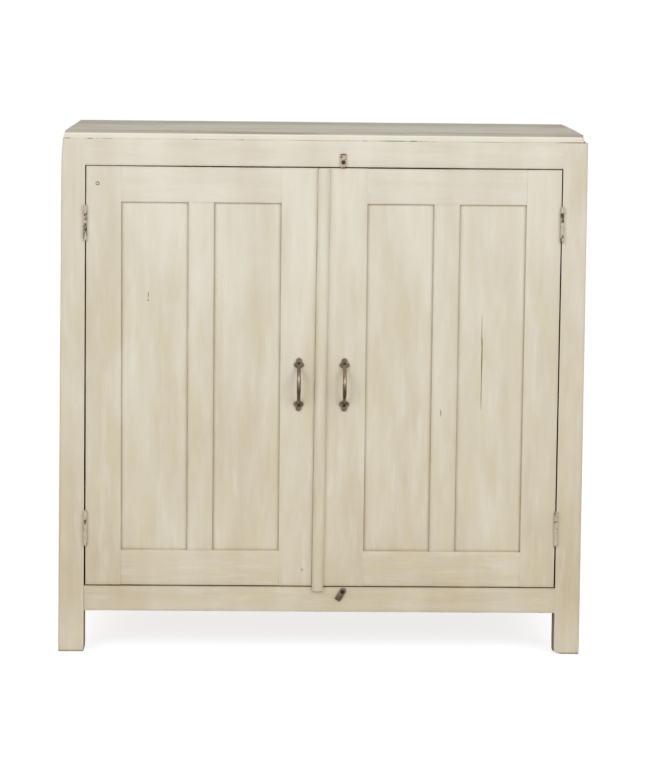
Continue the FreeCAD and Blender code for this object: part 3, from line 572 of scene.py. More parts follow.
# painted over, and chipped back to dark metal
def makeChipped(name, cover, under, low, high, heights):
    material, shader = newMaterial(name)
    place = whereOn("Object")
    up = split(place)["Z"]
    chips = plus(noise(place, 130.0, 4.0, 0.6),
                 times(noise(place, 45.0, 2.0, 0.5), 0.6),
                 *[spread(up, *ends) for ends in heights])
    chip = spread(chips, low, high)
    mottle = spread(noise(place, 300.0, 3.0, 0.6), 0.3, 0.7)
    paint = blend(times(mottle, 0.5), cover, limewash["glaze"])
    metal = blend(mottle, under, chippedMetal)
    fill(shader, {
        "Base Color": blend(chip, paint, metal),
        "Roughness": spread(chip, 0, 1, 0.6, 0.42),
        "Metallic": times(chip, 0.7),
        "Normal": bumpFrom(minus(mottle, times(chip, 2.0)), 0.0003, 0.4),
    })
    return material


hingePaint = makeChipped("hingePaint", tone(214, 204, 184), tone(58, 50, 42), 0.9, 0.97, moreChipsUp)
# the top button's dark upper end is a painted shadow line
buttonPaint = makeChipped("buttonPaint", tone(206, 191, 170), tone(92, 76, 62), 1.0, 1.08,
                          moreChipsUp + buttonEndShadeAndChips)
print("finishes made")


def clouds(name, scale):
    texture = bpy.data.textures.new(name, "CLOUDS")
    texture.noise_scale = scale
    texture.noise_depth = 2
    return texture


handPlane = clouds("handPlane", 0.11)
edgeChips = clouds("edgeChips", 0.022)
boardLook = {
    "longRound": 0.0018,   # round-over of the worn edges
    "roundSteps": 3,
    "innerRound": 0.0004,  # round-over of the edges that meet another board
    "endRound": 0.0003,
    "wearBand": 0.011,
    "step": 0.016,         # spacing of the cuts along the board
    "wave": 0.0006,
    "nibble": 0.0004,
    "smoothAngle": 35,
    "seedStep": 1.37,
    "noEdge": 0.5,         # stands for the distance where no worn edge is near
    "cutGap": 0.05,        # and the distance given to points made by a cut
}
everySide = ((0, -1), (0, 1), (1, -1), (1, 1), (2, -1), (2, 1))
seedCount = [0]


def changed(look, **changes):
    return {**look, **changes}


def onSide(point, low, high, side):
    axis, way = side
    return abs(point[axis] - (low[axis] if way < 0 else high[axis])) < 1e-5


# each point keeps its distance from the nearest worn edge, and its board's seed
def markBoard(board, low, high, worn):
    seedCount[0] += 1
    gapLayer = board.data.attributes.new("edgeGap", "FLOAT", "POINT")
    seedLayer = board.data.attributes.new("boardSeed", "FLOAT", "POINT")
    for point in board.data.vertices:
        gaps = [boardLook["noEdge"]] * 2
        for axis, way in worn:
            gaps.append(point.co[axis] - low[axis] if way < 0 else high[axis] - point.co[axis])
        gaps.sort()
        gapLayer.data[point.index].value = max(gaps[1], 0.0)
        seedLayer.data[point.index].value = seedCount[0] * boardLook["seedStep"]


def roughen(board, look):
    for texture, depth in ((handPlane, look["wave"]), (edgeChips, look["nibble"])):
        change(board, "DISPLACE", texture=texture, texture_coords="LOCAL", mid_level=0.5, strength=depth)


# outer lists the sides, one or more at a time, whose long edges are worn
def shapeBoard(name, low, high, along, look, outer):
    size = high - low
    board = addBlock((low + high) / 2, size)
    board.name = name

    def corner(start, end):
        sides = [side for side in everySide if side[0] != along and onSide(start, low, high, side)]
        return len(sides) == 2 and runsAlong(start, end, along, 0.001)

    def outerCorner(start, end):
        worn = any(all(onSide(start, low, high, side) for side in group) for group in outer)
        return worn and corner(start, end)

    if outer:
        pickEdges(board, outerCorner)
        roundOver(look["longRound"], look["roundSteps"])
    pickEdges(board, corner)
    roundOver(look["innerRound"], 2)
    pickFacing(board, along)
    roundOver(look["endRound"], 2, clamp=True)
    for axis in range(3):
        spans = [size[other] for other in range(3) if other != axis]
        band = min(look["wearBand"], 0.3 * (min(spans) - 2 * look["longRound"]))
        pickFacing(board, axis, least=0.4 * spans[0] * spans[1])
        bpy.ops.mesh.inset(thickness=band, depth=0, use_individual=True)
        stopEditing()
    pickEdges(board, lambda start, end: runsAlong(start, end, along, 0.4 * size[along]))
    bpy.ops.mesh.subdivide(number_cuts=max(2, round(size[along] / look["step"])))
    stopEditing()
    roughen(board, look)
    return board


def finishBoard(board, low, high, worn):
    smooth(board, boardLook["smoothAngle"])
    markBoard(board, low, high, worn)


# points made by a cut take on the board's own marks
def mendCut(board):
    gaps = board.data.attributes["edgeGap"].data
    seeds = board.data.attributes["boardSeed"].data
    seed = max(item.value for item in seeds)
    for index, item in enumerate(seeds):
        if abs(item.value - seed) > 0.0001:
            item.value = seed
            gaps[index].value = boardLook["cutGap"]
    smooth(board, boardLook["smoothAngle"])


# boards that are no longer square: their corners are moved with a cage
def skew(board, low, high, shifts):
    startClean()
    bpy.ops.object.add(type="LATTICE", location=(low + high) / 2)
    cage = bpy.context.object
    size = high - low
    cage.scale = size
    for way in "uvw":
        setattr(cage.data, "interpolation_type_" + way, "KEY_LINEAR")
    for point in cage.data.points:
        key = (1 if point.co.x > 0 else -1, 1 if point.co.z > 0 else -1)
        across, up = shifts.get(key, (0.0, 0.0))
        point.co_deform.x += across / size.x
        point.co_deform.z += up / size.z
    bpy.context.view_layer.update()
    change(board, "LATTICE", object=cage)
    bpy.data.objects.remove(cage)


painted = ("_painted", "cream_paint")
bare = ("_bare", "bare_wood")


# where worn isn't given, the broad faces either side of the worn edges count too
def makeBoard(kind, name, low, high, along, look, outer, material, body, worn=(), shifts=None):
    ending, slot = kind
    board = shapeBoard(name + ending, low, high, along, look, outer)
    if not worn:
        worn = tuple(side for group in outer for side in group)
        axes = {along}.union(side[0] for side in worn)
        worn += tuple(side for side in everySide if side[0] not in axes)
    finishBoard(board, low, high, worn)
    if shifts:
        skew(board, low, high, shifts)
    dressUp(board, material, body, slot, name)
    return board


def nudge(piece, test, shift):
    pickPoints(piece, test)
    bpy.ops.transform.translate(value=shift)
    stopEditing()


def easeFeet(post, low, high, amount):
    pickPoints(post, lambda place: place.z < low.z + 0.003)
    middle = (low + high) / 2
    bpy.ops.transform.resize(value=(amount, amount, 1), center_override=(middle.x, middle.y, low.z))
    stopEditing()


# a slanting cut off the lower left front corner of a post
def chipCorner(post, reach):
    across, back, up = reach
    foot = [point.co for point in post.data.vertices if point.co.z < 0.004]
    onEdge = Vector((min(point.x for point in foot), min(point.y for point in foot), up))
    normal = Vector((0, back, -up)).cross(Vector((across, 0, -up))).normalized()
    takeHold(post)
    pickAll()
    bpy.ops.mesh.bisect(plane_co=onEdge, plane_no=normal, use_fill=True, clear_outer=True)
    bpy.ops.mesh.select_all(action="SELECT")
    bpy.ops.mesh.normals_make_consistent(inside=False)
    stopEditing()


# case
hands = (("left", -1), ("right", 1))
postLook = changed(boardLook, longRound=0.0026, innerRound=0.0006, endRound=0.0004)
footShare = 0.982
# worn top of the left posts: from, to and how far in
wornTop = ((1.052, 1.06, 0.003), (1.03, 1.052, 0.0017), (1.012, 1.03, 0.0007))
# worn inner corner of the right foot, as two slants: reach across, back and up
wornFoot = ((0.0096, 0.03, 0.0059), (0.015, 0.03, 0.0037))
postLean = {"left": (0.003, -0.001), "right": (0.003, 0.0016)}   # inner edge in, at the top and the foot
outerLean = {"left": 0.0015, "right": 0.0}       # outer edge in at the top
footSplay = {"left": 0.0068, "right": 0.0038}    # outer edge out at the foot
railLook = changed(boardLook, longRound=0.0016)
railSetBack = 0.0002
railDrop = {"front_top_rail": (-0.0017, -0.001), "front_bottom_rail": (0.0, 0.0)}   # left and right end
panelTuck = 0.001
posts = {}
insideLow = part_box("front_left_post")[1]
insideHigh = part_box("back_right_post")[0]
for depthWord in ("front", "back"):
    for hand, side in hands:
        name = depthWord + "_" + hand + "_post"
        low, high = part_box(name)
        post = shapeBoard(name + "_painted", low, high, 2, postLook, (((0, side),),))
        easeFeet(post, low, high, footShare)
        finishBoard(post, low, high, ((0, side), (1, -1), (1, 1), (2, -1)))
        if hand == "left":
            for fromZ, toZ, amount in wornTop:
                nudge(post, lambda place: place.x < low.x + 0.004 and fromZ < place.z < toZ, (amount, 0, 0))
        if depthWord == "front":
            upper, lower = postLean[hand]
            skew(post, low, high, {
                (-side, 1): (-side * upper, 0),
                (-side, -1): (-side * lower, 0),
                (side, 1): (-side * outerLean[hand], 0),
                (side, -1): (side * footSplay[hand], 0),
            })
            posts[hand] = post
        if name == "front_right_post":
            for reach in wornFoot:
                chipCorner(post, reach)
            mendCut(post)
        dressUp(post, paintUpright, "case", "cream_paint", name)
for name, way in (("front_top_rail", -1), ("front_bottom_rail", 1)):
    low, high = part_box(name)
    low.x = insideLow.x
    high.x = insideHigh.x
    low.y += railSetBack
    leftDrop, rightDrop = railDrop[name]
    makeBoard(painted, name, low, high, 0, railLook, (((2, way),),), paintLevel, "case",
              ((1, -1), (1, 1), (2, -1), (2, way)), {(-1, way): (0, leftDrop), (1, way): (0, rightDrop)})
for hand, side in hands:
    for level in ("top", "bottom"):
        name = hand + "_side_" + level + "_rail"
        low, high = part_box(name)
        low.y = insideLow.y
        high.y = insideHigh.y
        makeBoard(painted, name, low, high, 1, railLook, (((2, -1),), ((2, 1),)), paintSide, "case")
    name = hand + "_side_panel"
    low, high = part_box(name)
    low.y = insideLow.y - panelTuck
    high.y = insideHigh.y + panelTuck
    low.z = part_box(hand + "_side_bottom_rail")[1].z - panelTuck
    high.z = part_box(hand + "_side_top_rail")[0].z + panelTuck
    makeBoard(painted, name, low, high, 2, railLook, (), paintPanel, "case", everySide)
print("case framed")

# top: rounded along its front and back edges, and worn at its right front corner
topLook = changed(boardLook, longRound=0.005, roundSteps=5, innerRound=0.0005)
wornCorner = 0.0045
topEnds = {(-1, -1): (-0.0003, 0), (-1, 1): (0.0042, 0), (1, -1): (-0.0017, 0), (1, 1): (-0.0006, 0)}
for name, way in (("top_front_board", -1), ("top_back_board", 1)):
    low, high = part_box(name)
    board = shapeBoard(name + "_painted", low, high, 0, topLook, (((1, way), (2, 1)),))
    finishBoard(board, low, high, ((0, -1), (0, 1), (1, way), (2, -1), (2, 1)))
    if way < 0:
        cornerLow = Vector((high.x - 0.004, low.y + 0.02, low.z + 0.006))
        nudge(board, lambda place: place.x > cornerLow.x and place.y < cornerLow.y and place.z > cornerLow.z,
              (-wornCorner, 0, 0))
    skew(board, low, high, topEnds)
    dressUp(board, paintTop, "case", "cream_paint", name)

# inside and back: bare boards, with the way they run and the axis of their worn edges
pineLook = changed(boardLook, longRound=0.0012)
bareBoards = [("back_board_" + str(number), 2, 0, pineUpright) for number in range(1, 5)]
bareBoards.append(("shelf", 0, 1, pineLevel))
bareBoards += [(name, 0, 2, pineLevel) for name in ("back_top_rail", "back_bottom_rail", "door_stop")]
bareBoards += [(hand + "_shelf_cleat", 1, 2, pineDeep) for hand, side in hands]
for name, along, edge, material in bareBoards:
    low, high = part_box(name)
    if name.endswith("rail"):
        low.x = insideLow.x
        high.x = insideHigh.x
    makeBoard(bare, name, low, high, along, pineLook, (((edge, -1),), ((edge, 1),)), material, "case")
print("inside boarded")

# doors
doorLook = {
    "setBack": 0.0001,      # rails sit a hair behind the stiles
    "reliefRadius": 0.0042,
    "reliefLength": 0.0745,
    "meetLean": (0.0005, -0.0045),   # the meeting line leans: across at the top and at the bottom
    "hingeLean": {"left": (0.0014, -0.0007), "right": (-0.0016, -0.0011)},
    "rise": 0.001,
    "leafLength": 0.069,
    "leafHole": (0.006, 0.0215, 0.0692),
    "leafHoleY": -0.204,
    "leafInset": 0.003,     # middle of the hole from the stile's edge
    "postInset": 0.0015,    # and from the pin, towards the middle
    "pinRadius": 0.003,
    "pinY": -0.21325,
}
stileLook = changed(boardLook, longRound=0.0017)
doorRailLook = changed(boardLook, longRound=0.0015)
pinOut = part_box("hinge_pins")[1].x - doorLook["pinRadius"]


# room for a hinge leaf in an edge
def leafHole(middleX, height):
    return addBlock((middleX, doorLook["leafHoleY"], height), doorLook["leafHole"])


for hand, side in hands:
    body = hand + "_door"
    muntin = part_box(body + "_muntin")
    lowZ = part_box(body + "_bottom_rail")[1].z
    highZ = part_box(body + "_top_rail")[0].z
    edges = []
    stiles = {}
    for place, edge, worn in (("hinge", side, ((0, side),)), ("meeting", -side, ())):
        name = body + "_" + place + "_stile"
        low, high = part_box(name)
        high.z += doorLook["rise"]
        edges += [low.x, high.x]
        upper, lower = doorLook["meetLean"] if place == "meeting" else doorLook["hingeLean"][hand]
        outer = (worn,) if worn else ()
        stiles[place] = makeBoard(painted, name, low, high, 2, stileLook, outer, paintUpright, body,
                                  worn + everySide[2:], {(edge, 1): (upper, 0), (edge, -1): (lower, 0)})
    outerLow, innerLow, innerHigh, outerHigh = sorted(edges)
    stileEdge = max(-outerLow, outerHigh)
    leafLow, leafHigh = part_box(body + "_hinge_leaves")
    halfLeaf = doorLook["leafLength"] / 2
    for height in (leafLow.z + halfLeaf, leafHigh.z - halfLeaf):
        pinPlace = (side * pinOut, doorLook["pinY"], height)
        relief = addRound(doorLook["reliefRadius"], doorLook["reliefLength"], pinPlace, 32, 0)
        cutAway(stiles["hinge"], relief)
        cutAway(stiles["hinge"], leafHole(side * (stileEdge + doorLook["leafInset"]), height))
        cutAway(posts[hand], leafHole(side * (pinOut - doorLook["postInset"]), height))
    mendCut(stiles["hinge"])
    mendCut(posts[hand])
    for level, way in (("top", 1), ("bottom", -1)):
        name = body + "_" + level + "_rail"
        low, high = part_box(name)
        low.x = innerLow
        high.x = innerHigh
        low.y += doorLook["setBack"]
        if level == "top":
            high.z += doorLook["rise"]
        makeBoard(painted, name, low, high, 0, doorRailLook, (((2, way),),), paintLevel, body)
    low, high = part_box(body + "_muntin")
    low.z = lowZ
    high.z = highZ
    low.y += doorLook["setBack"]
    makeBoard(painted, body + "_muntin", low, high, 2, doorRailLook, (), paintUpright, body)
    for place in ("outer", "inner"):
        name = body + "_" + place + "_panel"
        low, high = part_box(name)
        if low.x + high.x < muntin[0].x + muntin[1].x:
            lowX, highX = innerLow, muntin[0].x
        else:
            lowX, highX = muntin[1].x, innerHigh
        low.x = lowX - panelTuck
        high.x = highX + panelTuck
        low.z = lowZ - panelTuck
        high.z = highZ + panelTuck
        makeBoard(painted, name, low, high, 2, doorRailLook, (), paintPanel, body, everySide)

# splits, a knot hole and a nail hole: board, place, half size across and up, and lean
damage = (
    ("right_door_outer_panel", (0.3235, 0.672), (0.0005, 0.034), 0.0),
    ("right_door_outer_panel", (0.3245, 0.611), (0.0009, 0.047), 0.004),
    ("right_door_outer_panel", (0.3242, 0.545), (0.0006, 0.039), -0.003),
    ("left_door_outer_panel", (-0.3552, 0.728), (0.0014, 0.0016), 0.0),
    ("left_door_outer_panel", (-0.3549, 0.739), (0.0006, 0.006), 0.02),
    ("left_door_meeting_stile", (-0.038, 0.1745), (0.0021, 0.0023), 0.0),
)
damageLook = {"depth": 0.0022, "margin": 1.05, "reach": 0.0025, "largestFace": 2e-5}
for name, place, size, lean in damage:
    board = bpy.data.objects[name + "_painted"]
    face = min(point.co.y for point in board.data.vertices)
    startClean()
    bpy.ops.mesh.primitive_uv_sphere_add(segments=16, ring_count=12, radius=1,
                                         location=(place[0], face, place[1]))
    tool = bpy.context.object
    tool.scale = (size[0], damageLook["depth"], size[1])
    tool.rotation_euler = (0, lean, 0)
    settle()
    cutAway(board, tool)
    mendCut(board)
    if len(board.data.materials) < 2:
        board.data.materials.append(pineUpright)
    for side in board.data.polygons:
        offX = (side.center.x - place[0]) / (size[0] * damageLook["margin"])
        offZ = (side.center.z - place[1]) / (size[1] * damageLook["margin"])
        shallow = abs(side.center.y - face) < damageLook["reach"]
        if offX * offX + offZ * offZ < 1 and shallow and side.area < damageLook["largestFace"]:
            side.material_index = 1
print("doors framed")

# cover strip: half round, its lower end eased
stripLook = {
    "crown": 0.0085,
    "crownSteps": 7,
    "crownProfile": 0.42,
    "nose": 0.004,
    "lap": 0.0018,
    "trim": 0.001,
    "cuts": 54,
    "wave": 0.0012,
    "nibble": 0.0005,
}
low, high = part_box("cover_strip")
low.x -= stripLook["lap"]
high.x -= stripLook["trim"]
strip = addBlock((low + high) / 2, high - low)
strip.name = "cover_strip_painted"
pickEdges(strip, lambda start, end: runsAlong(start, end, 2, 0.1) and start.y < -0.215)
roundOver(stripLook["crown"], stripLook["crownSteps"], stripLook["crownProfile"])
pickFacing(strip, 2, (-1,))
roundOver(stripLook["nose"], 4)
pickEdges(strip, lambda start, end: runsAlong(start, end, 2, 0.4))
bpy.ops.mesh.subdivide(number_cuts=stripLook["cuts"])
stopEditing()
roughen(strip, stripLook)
finishBoard(strip, low, high, ((0, -1), (0, 1), (1, 1)))
upper, lower = doorLook["meetLean"]
skew(strip, low, high, {(-1, 1): (upper, 0), (1, 1): (upper, 0), (-1, -1): (lower, 0), (1, -1): (lower, 0)})
dressUp(strip, paintStrip, "right_door", "cream_paint", "cover_strip")

# handles: a bow between two lobed plates
handleLook = {
    "bowRadius": 0.0398,
    "bowHalfAngle": math.radians(72.7),
    "bowSteps": 12,
    "barRadius": 0.0042,
    "barReach": 0.012,      # no point of a ring lies further from its middle
    "plateThick": 0.003,
    "plateUp": 0.0432,
    "disc": 0.0083,
    "discIn": 0.002,
    # radius, across and up
    "lobes": ((0.0058, 0.0, 0.0056), (0.0051, 0.0052, -0.0028), (0.0051, -0.0052, -0.0028)),
    "bevel": 0.0011,
    "aside": -0.0018,       # a little off the middle of the stile, and a little high
    "up": 0.002,
    "screwSize": (0.0031, 0.0016),   # radius and thickness
    "screwOut": 0.0036,
    "screws": ((0.043, 0.4), (-0.043, -0.9)),   # height and turn of the slot
    "slotChange": 4,
}


# thickest at its ends, thinnest part of the way to them
def bowTaper(angle):
    share = abs(angle) / handleLook["bowHalfAngle"]
    return 1.05 - 0.15 * math.sin(math.pi * min(share, 0.8) / 1.6) + 0.75 * max(0.0, share - 0.78) / 0.22


def makeBow(centreX, frontY, centreZ):
    startClean()
    radius = handleLook["bowRadius"]
    steps = handleLook["bowSteps"]
    bpy.ops.mesh.primitive_circle_add(vertices=16, radius=handleLook["barRadius"],
                                      location=(centreX, frontY, centreZ))
    bow = bpy.context.object
    settle()
    pivot = Vector((centreX, frontY + radius, centreZ))
    for turn in (1, -1):
        pickEdges(bow, lambda start, end: abs(start.z - centreZ) < 1e-5 and abs(end.z - centreZ) < 1e-5)
        bpy.ops.mesh.spin(steps=steps, angle=turn * handleLook["bowHalfAngle"], center=pivot, axis=(1, 0, 0))
        stopEditing()
    for ring in range(-steps, steps + 1):
        angle = ring / steps * handleLook["bowHalfAngle"]
        heart = pivot + Vector((0, -math.cos(angle) * radius, math.sin(angle) * radius))
        away = Vector((0, math.sin(angle), math.cos(angle)))

        def onRing(place):
            offset = place - heart
            return abs(offset.dot(away)) < 1e-5 and offset.length < handleLook["barReach"]

        pickPoints(bow, onRing)
        grow = bowTaper(angle)
        bpy.ops.transform.resize(value=(grow, grow, grow), center_override=heart)
        stopEditing()
    pickAll()
    bpy.ops.mesh.remove_doubles(threshold=1e-6)
    bpy.ops.mesh.fill_holes(sides=20)
    bpy.ops.mesh.normals_make_consistent(inside=False)
    stopEditing()
    smooth(bow, 60)
    return bow


def makePlate(centreX, backY, centreZ, out):
    thick = handleLook["plateThick"]
    midY = backY - thick / 2
    plate = addRound(handleLook["disc"], thick, (centreX, midY, centreZ - out * handleLook["discIn"]))
    for radius, acrossX, upZ in handleLook["lobes"]:
        lobe = addRound(radius, thick, (centreX + acrossX, midY, centreZ + out * upZ))
        combine(plate, lobe, "UNION")
    change(plate, "BEVEL", width=handleLook["bevel"], segments=3, limit_method="ANGLE",
           angle_limit=math.radians(50))
    pickAll()
    bpy.ops.mesh.dissolve_degenerate(threshold=0.000004)
    stopEditing()
    smooth(plate)
    return plate


# slotted round head, facing the front
def makeHead(radius, thick, place, slotTurn):
    head = addRound(radius, thick, place)
    pickFacing(head, 1, (-1,))
    roundOver(min(radius * 0.4, thick * 0.7), 4)
    slotSize = (radius * 2.4, thick * 0.8, radius * 0.32)
    cutAway(head, addBlock(place - Vector((0, thick / 2, 0)), slotSize, (0, slotTurn, 0)))
    smooth(head)
    return head


handleLow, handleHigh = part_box("left_handle")
handleX = (handleLow.x + handleHigh.x) / 2 + handleLook["aside"]
handleZ = (handleLow.z + handleHigh.z) / 2 + handleLook["up"]
doorFace = handleHigh.y
bow = makeBow(handleX, handleLow.y + handleLook["barRadius"], handleZ)
plates = [makePlate(handleX, doorFace, handleZ + way * handleLook["plateUp"], way) for way in (1, -1)]
leftHandle = gather([bow, *plates], "left_handle_cast")
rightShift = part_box("right_handle")[0].x - handleLow.x
rightHandle = addObject("right_handle_cast", leftHandle.data.copy(), (rightShift, 0, 0))
takeHold(rightHandle)
settle()
for hand, handle, shift in (("left", leftHandle, 0), ("right", rightHandle, rightShift)):
    dressUp(handle, bronze, hand + "_door", "dark_bronze", hand + "_handle")
    heads = []
    for up, turn in handleLook["screws"]:
        place = Vector((handleX + shift, doorFace - handleLook["screwOut"], handleZ + up))
        heads.append(makeHead(*handleLook["screwSize"], place, turn + shift * handleLook["slotChange"]))
    screws = gather(heads, hand + "_handle_screw_heads")
    dressUp(screws, screwIron, hand + "_door", "iron_fastener", hand + "_handle_screws")
print("handles cast")

# turn buttons: one square end, one round end, on a screw
buttonLook = {
    "width": 0.0125,
    "thick": 0.0025,
    "roundEnd": 0.0062,
    "squareEnd": 0.0016,
    "softEdge": 0.0005,
    "topArm": 0.017,
    "bottomPivot": (0.0455, 0.1295),   # across and up
    "bottomArms": (0.0085, 0.021),
    "bottomTilt": math.radians(30.5),
    "screwSize": (0.0042, 0.0022),
}


def makeButton(name, pivot, shortArm, longArm, upwards, tilt):
    tall = shortArm + longArm
    middle = upwards * (longArm - shortArm) / 2
    button = addBlock((0, 0, middle), (buttonLook["width"], buttonLook["thick"], tall))
    button.name = name

    def atEnd(start, stop, end):
        return runsAlong(start, stop, 1, 0.001) and (start.z - middle) * end > tall * 0.3

    for end, ease in ((-upwards, buttonLook["roundEnd"]), (upwards, buttonLook["squareEnd"])):
        pickEdges(button, lambda start, stop: atEnd(start, stop, end))
        roundOver(ease, 6)
    pickFacing(button, 1)
    roundOver(buttonLook["softEdge"], 2)
    button.location = pivot
    button.rotation_euler = (0, tilt, 0)
    takeHold(button)
    settle()
    smooth(button)
    return button


topLow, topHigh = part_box("top_turn_button")
topArm = buttonLook["topArm"]
topPivot = Vector(((topLow.x + topHigh.x) / 2, topLow.y + buttonLook["thick"] / 2, topHigh.z - topArm))
topButton = makeButton("top_turn_button_plate", topPivot, topPivot.z - topLow.z, topArm, 1, 0)
dressUp(topButton, buttonPaint, "top_button", "aged_steel", "top_turn_button")
bottomPivot = Vector((buttonLook["bottomPivot"][0], topPivot.y, buttonLook["bottomPivot"][1]))
bottomButton = makeButton("bottom_turn_button_plate", bottomPivot, *buttonLook["bottomArms"], -1,
                          buttonLook["bottomTilt"])
dressUp(bottomButton, buttonSteel, "bottom_button", "aged_steel", "bottom_turn_button")
screwHeads = []
for pivot, turn in ((topPivot, 0.7), (bottomPivot, -0.5)):
    place = pivot - Vector((0, buttonLook["screwSize"][1], 0))
    screwHeads.append(makeHead(*buttonLook["screwSize"], place, turn))
buttonScrews = gather(screwHeads, "button_screw_heads")
dressUp(buttonScrews, screwIron, "case", "iron_fastener", "button_screws")
print("buttons made")

# pegs of the door joints: painted over in front, a little proud behind; one shows
pegLook = {
    "radius": 0.0038,
    "inset": 0.0035,
    "proud": 0.0004,
    "sunk": 0.0012,
    "soft": 0.0005,
    "ring": 0.0009,
    "glazeReach": 0.0033,
}
for hand, side in hands:
    low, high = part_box(hand + "_door_pegs")
    pegs = []
    pegHearts = []
    for x in (low.x + pegLook["inset"], high.x - pegLook["inset"]):
        for z in (low.z + pegLook["inset"], high.z - pegLook["inset"]):
            shows = hand == "left" and x < -0.4 and z > 0.9
            front = low.y - pegLook["proud"] if shows else low.y + pegLook["sunk"]
            back = high.y + pegLook["proud"]
            peg = addRound(pegLook["radius"], back - front, (x, (front + back) / 2, z), 20)
            pegHearts.append((x, z))
            pickFacing(peg, 1)
            roundOver(pegLook["soft"], 2)
            pickFacing(peg, 1)
            bpy.ops.mesh.inset(thickness=pegLook["ring"], depth=0, use_individual=True)
            bpy.ops.mesh.inset(thickness=pegLook["ring"], depth=0, use_individual=True)
            stopEditing()
            pegs.append(peg)
    joined = gather(pegs, hand + "_door_peg_ends")
    smooth(joined)
    markBoard(joined, low, high, ())
    for point in joined.data.vertices:
        heart = min(pegHearts, key=lambda spot: abs(spot[0] - point.co.x) + abs(spot[1] - point.co.z))
        away = math.hypot(point.co.x - heart[0], point.co.z - heart[1])
        joined.data.attributes["edgeGap"].data[point.index].value = max(0.0, pegLook["glazeReach"] - away)
    dressUp(joined, paintPeg, hand + "_door", "bare_wood", hand + "_door_pegs")

# nail heads that show on the back boards
nailLook = {
    "radius": 0.0022,
    "proud": 0.0004,
    "depth": 0.003,
    "soft": 0.0003,
    "heights": (0.112, 1.025),
    "shares": (0.2, 0.8),
}
nailHeads = []
for number in range(1, 5):
    low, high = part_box("back_board_" + str(number))
    for share in nailLook["shares"]:
        for height in nailLook["heights"]:
            x = low.x + (high.x - low.x) * share
            y = high.y + nailLook["proud"] - nailLook["depth"] / 2
            nail = addRound(nailLook["radius"], nailLook["depth"], (x, y, height), 14)
            pickFacing(nail, 1, (1,))
            roundOver(nailLook["soft"], 2)
            nailHeads.append(nail)
nailPiece = gather(nailHeads, "back_nail_heads")
smooth(nailPiece)
dressUp(nailPiece, screwIron, "case", "iron_fastener", "case_nails")

# solids that keep their own shape get these finishes
carried = (
    (pineLevel, ("floor_front_board", "floor_back_board")),
    (hingePaint, ("frame_hinge_leaves", "left_door_hinge_leaves", "right_door_hinge_leaves", "hinge_pins")),
    (screwIron, ("frame_hinge_screws", "left_door_hinge_screws", "right_door_hinge_screws")),
    (paintStrip, ("cover_strip_nails",)),
)
for material, names in carried:
    for name in names:
        for slot in nodes[name].material_slots:
            slot.material = material
print("small parts finished")

# stage: pale floor that fades into the white
stageLook = {
    "size": 14.0,
    "floorTone": tone(245, 244, 242),
    "seenTone": tone(178, 178, 178),
    "mirrorTone": tone(90, 86, 80),
    "lift": 0.8,
    "near": 1.1,
    "far": 2.6,
}
startClean()
bpy.ops.mesh.primitive_plane_add(size=stageLook["size"], location=(0, 0, 0))
floor = bpy.context.object
floor.name = "studioFloor"
material, shader = newMaterial("studioFloorPaint")
reach = addNode("VectorMath", {0: whereOn("Object")}, operation="LENGTH")["Value"]
fade = spread(reach, stageLook["near"], stageLook["far"])
rays = addNode("LightPath", {})
seen = rays["Is Camera Ray"]
colour = blend(seen, stageLook["floorTone"], stageLook["seenTone"])
colour = blend(rays["Is Glossy Ray"], colour, stageLook["mirrorTone"])
fill(shader, {"Base Color": colour, "Roughness": 0.9, "Specular IOR Level": 0.0})
glow = addNode("Emission", {"Color": (1, 1, 1, 1), "Strength": times(seen, stageLook["lift"])})[0]
lit = addNode("AddShader", {0: shader.outputs[0], 1: glow})[0]
clear = addNode("BsdfTransparent", {})[0]
surface = addNode("MixShader", {0: fade, 1: lit, 2: clear})[0]
fill(bench["tree"].nodes["Material Output"], {"Surface": surface})
floor.data.materials.append(material)

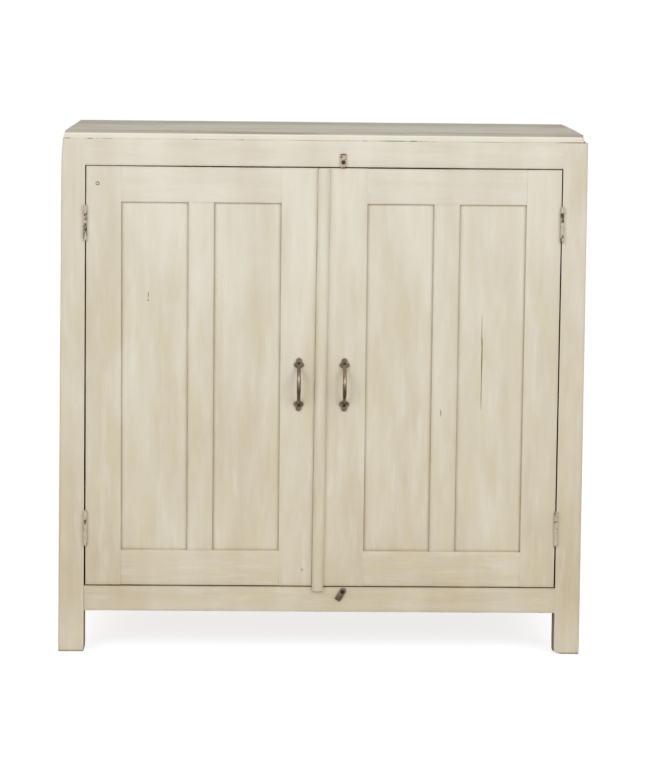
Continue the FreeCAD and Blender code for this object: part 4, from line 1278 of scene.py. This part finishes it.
# soft studio light: two large boxes either side of the camera and a pale room
lightLook = {
    "box": {"shape": "RECTANGLE", "size": 2.4, "size_y": 2.4, "energy": 68.0},
    "aside": 2.6,
    "outAndUp": (-3.4, 2.5),
    "room": 0.42,
    "mirrorExtra": 0.2,
}
aimPoint = Vector((0, -0.2, 0.6))
for hand, side in hands:
    lampData = bpy.data.lights.new("softBox", "AREA")
    adjust(lampData, lightLook["box"])
    lamp = addObject("softBox", lampData, (side * lightLook["aside"], *lightLook["outAndUp"]))
    lamp.rotation_euler = (aimPoint - lamp.location).to_track_quat("-Z", "Y").to_euler()
world = bpy.data.worlds.new("studioRoom")
bpy.context.scene.world = world
world.use_nodes = True
bench["tree"] = world.node_tree
rays = addNode("LightPath", {})
seen = larger(rays["Is Camera Ray"], rays["Is Transmission Ray"])
glow = plus(times(rays["Is Glossy Ray"], lightLook["mirrorExtra"]), lightLook["room"])
fill(world.node_tree.nodes["Background"], {"Color": (1, 1, 1, 1), "Strength": larger(glow, seen)})

# camera: a little left, a little above, long lens
cameraLook = {
    "place": (-0.108, -5.515, 1.348),
    "yaw": 1.15,
    "pitch": -6.829,
    "roll": 0.611,
    "focalPixels": 2633.8,
    "imageHeight": 774.0,
    "sensor": 36.0,
    "shiftY": -0.1,
}
yaw, pitch, roll = [math.radians(cameraLook[way]) for way in ("yaw", "pitch", "roll")]
ahead = Vector((math.sin(yaw) * math.cos(pitch), math.cos(yaw) * math.cos(pitch), math.sin(pitch)))
level = ahead.cross(Vector((0, 0, 1))).normalized()
upward = level.cross(ahead)
acrossAxis = level * math.cos(roll) + upward * math.sin(roll)
upAxis = upward * math.cos(roll) - level * math.sin(roll)
turn = Matrix((acrossAxis, upAxis, -ahead)).transposed()
cameraData = bpy.data.cameras.new("photoCamera")
lens = cameraLook["focalPixels"] * cameraLook["sensor"] / cameraLook["imageHeight"]
adjust(cameraData, {"sensor_width": cameraLook["sensor"], "lens": lens, "shift_y": cameraLook["shiftY"]})
camera = addObject("photoCamera", cameraData, cameraLook["place"])
camera.matrix_world = Matrix.Translation(Vector(cameraLook["place"])) @ turn.to_4x4()
bpy.context.scene.camera = camera
bpy.context.scene.view_settings.view_transform = "Standard"
print("stage, light and camera set")
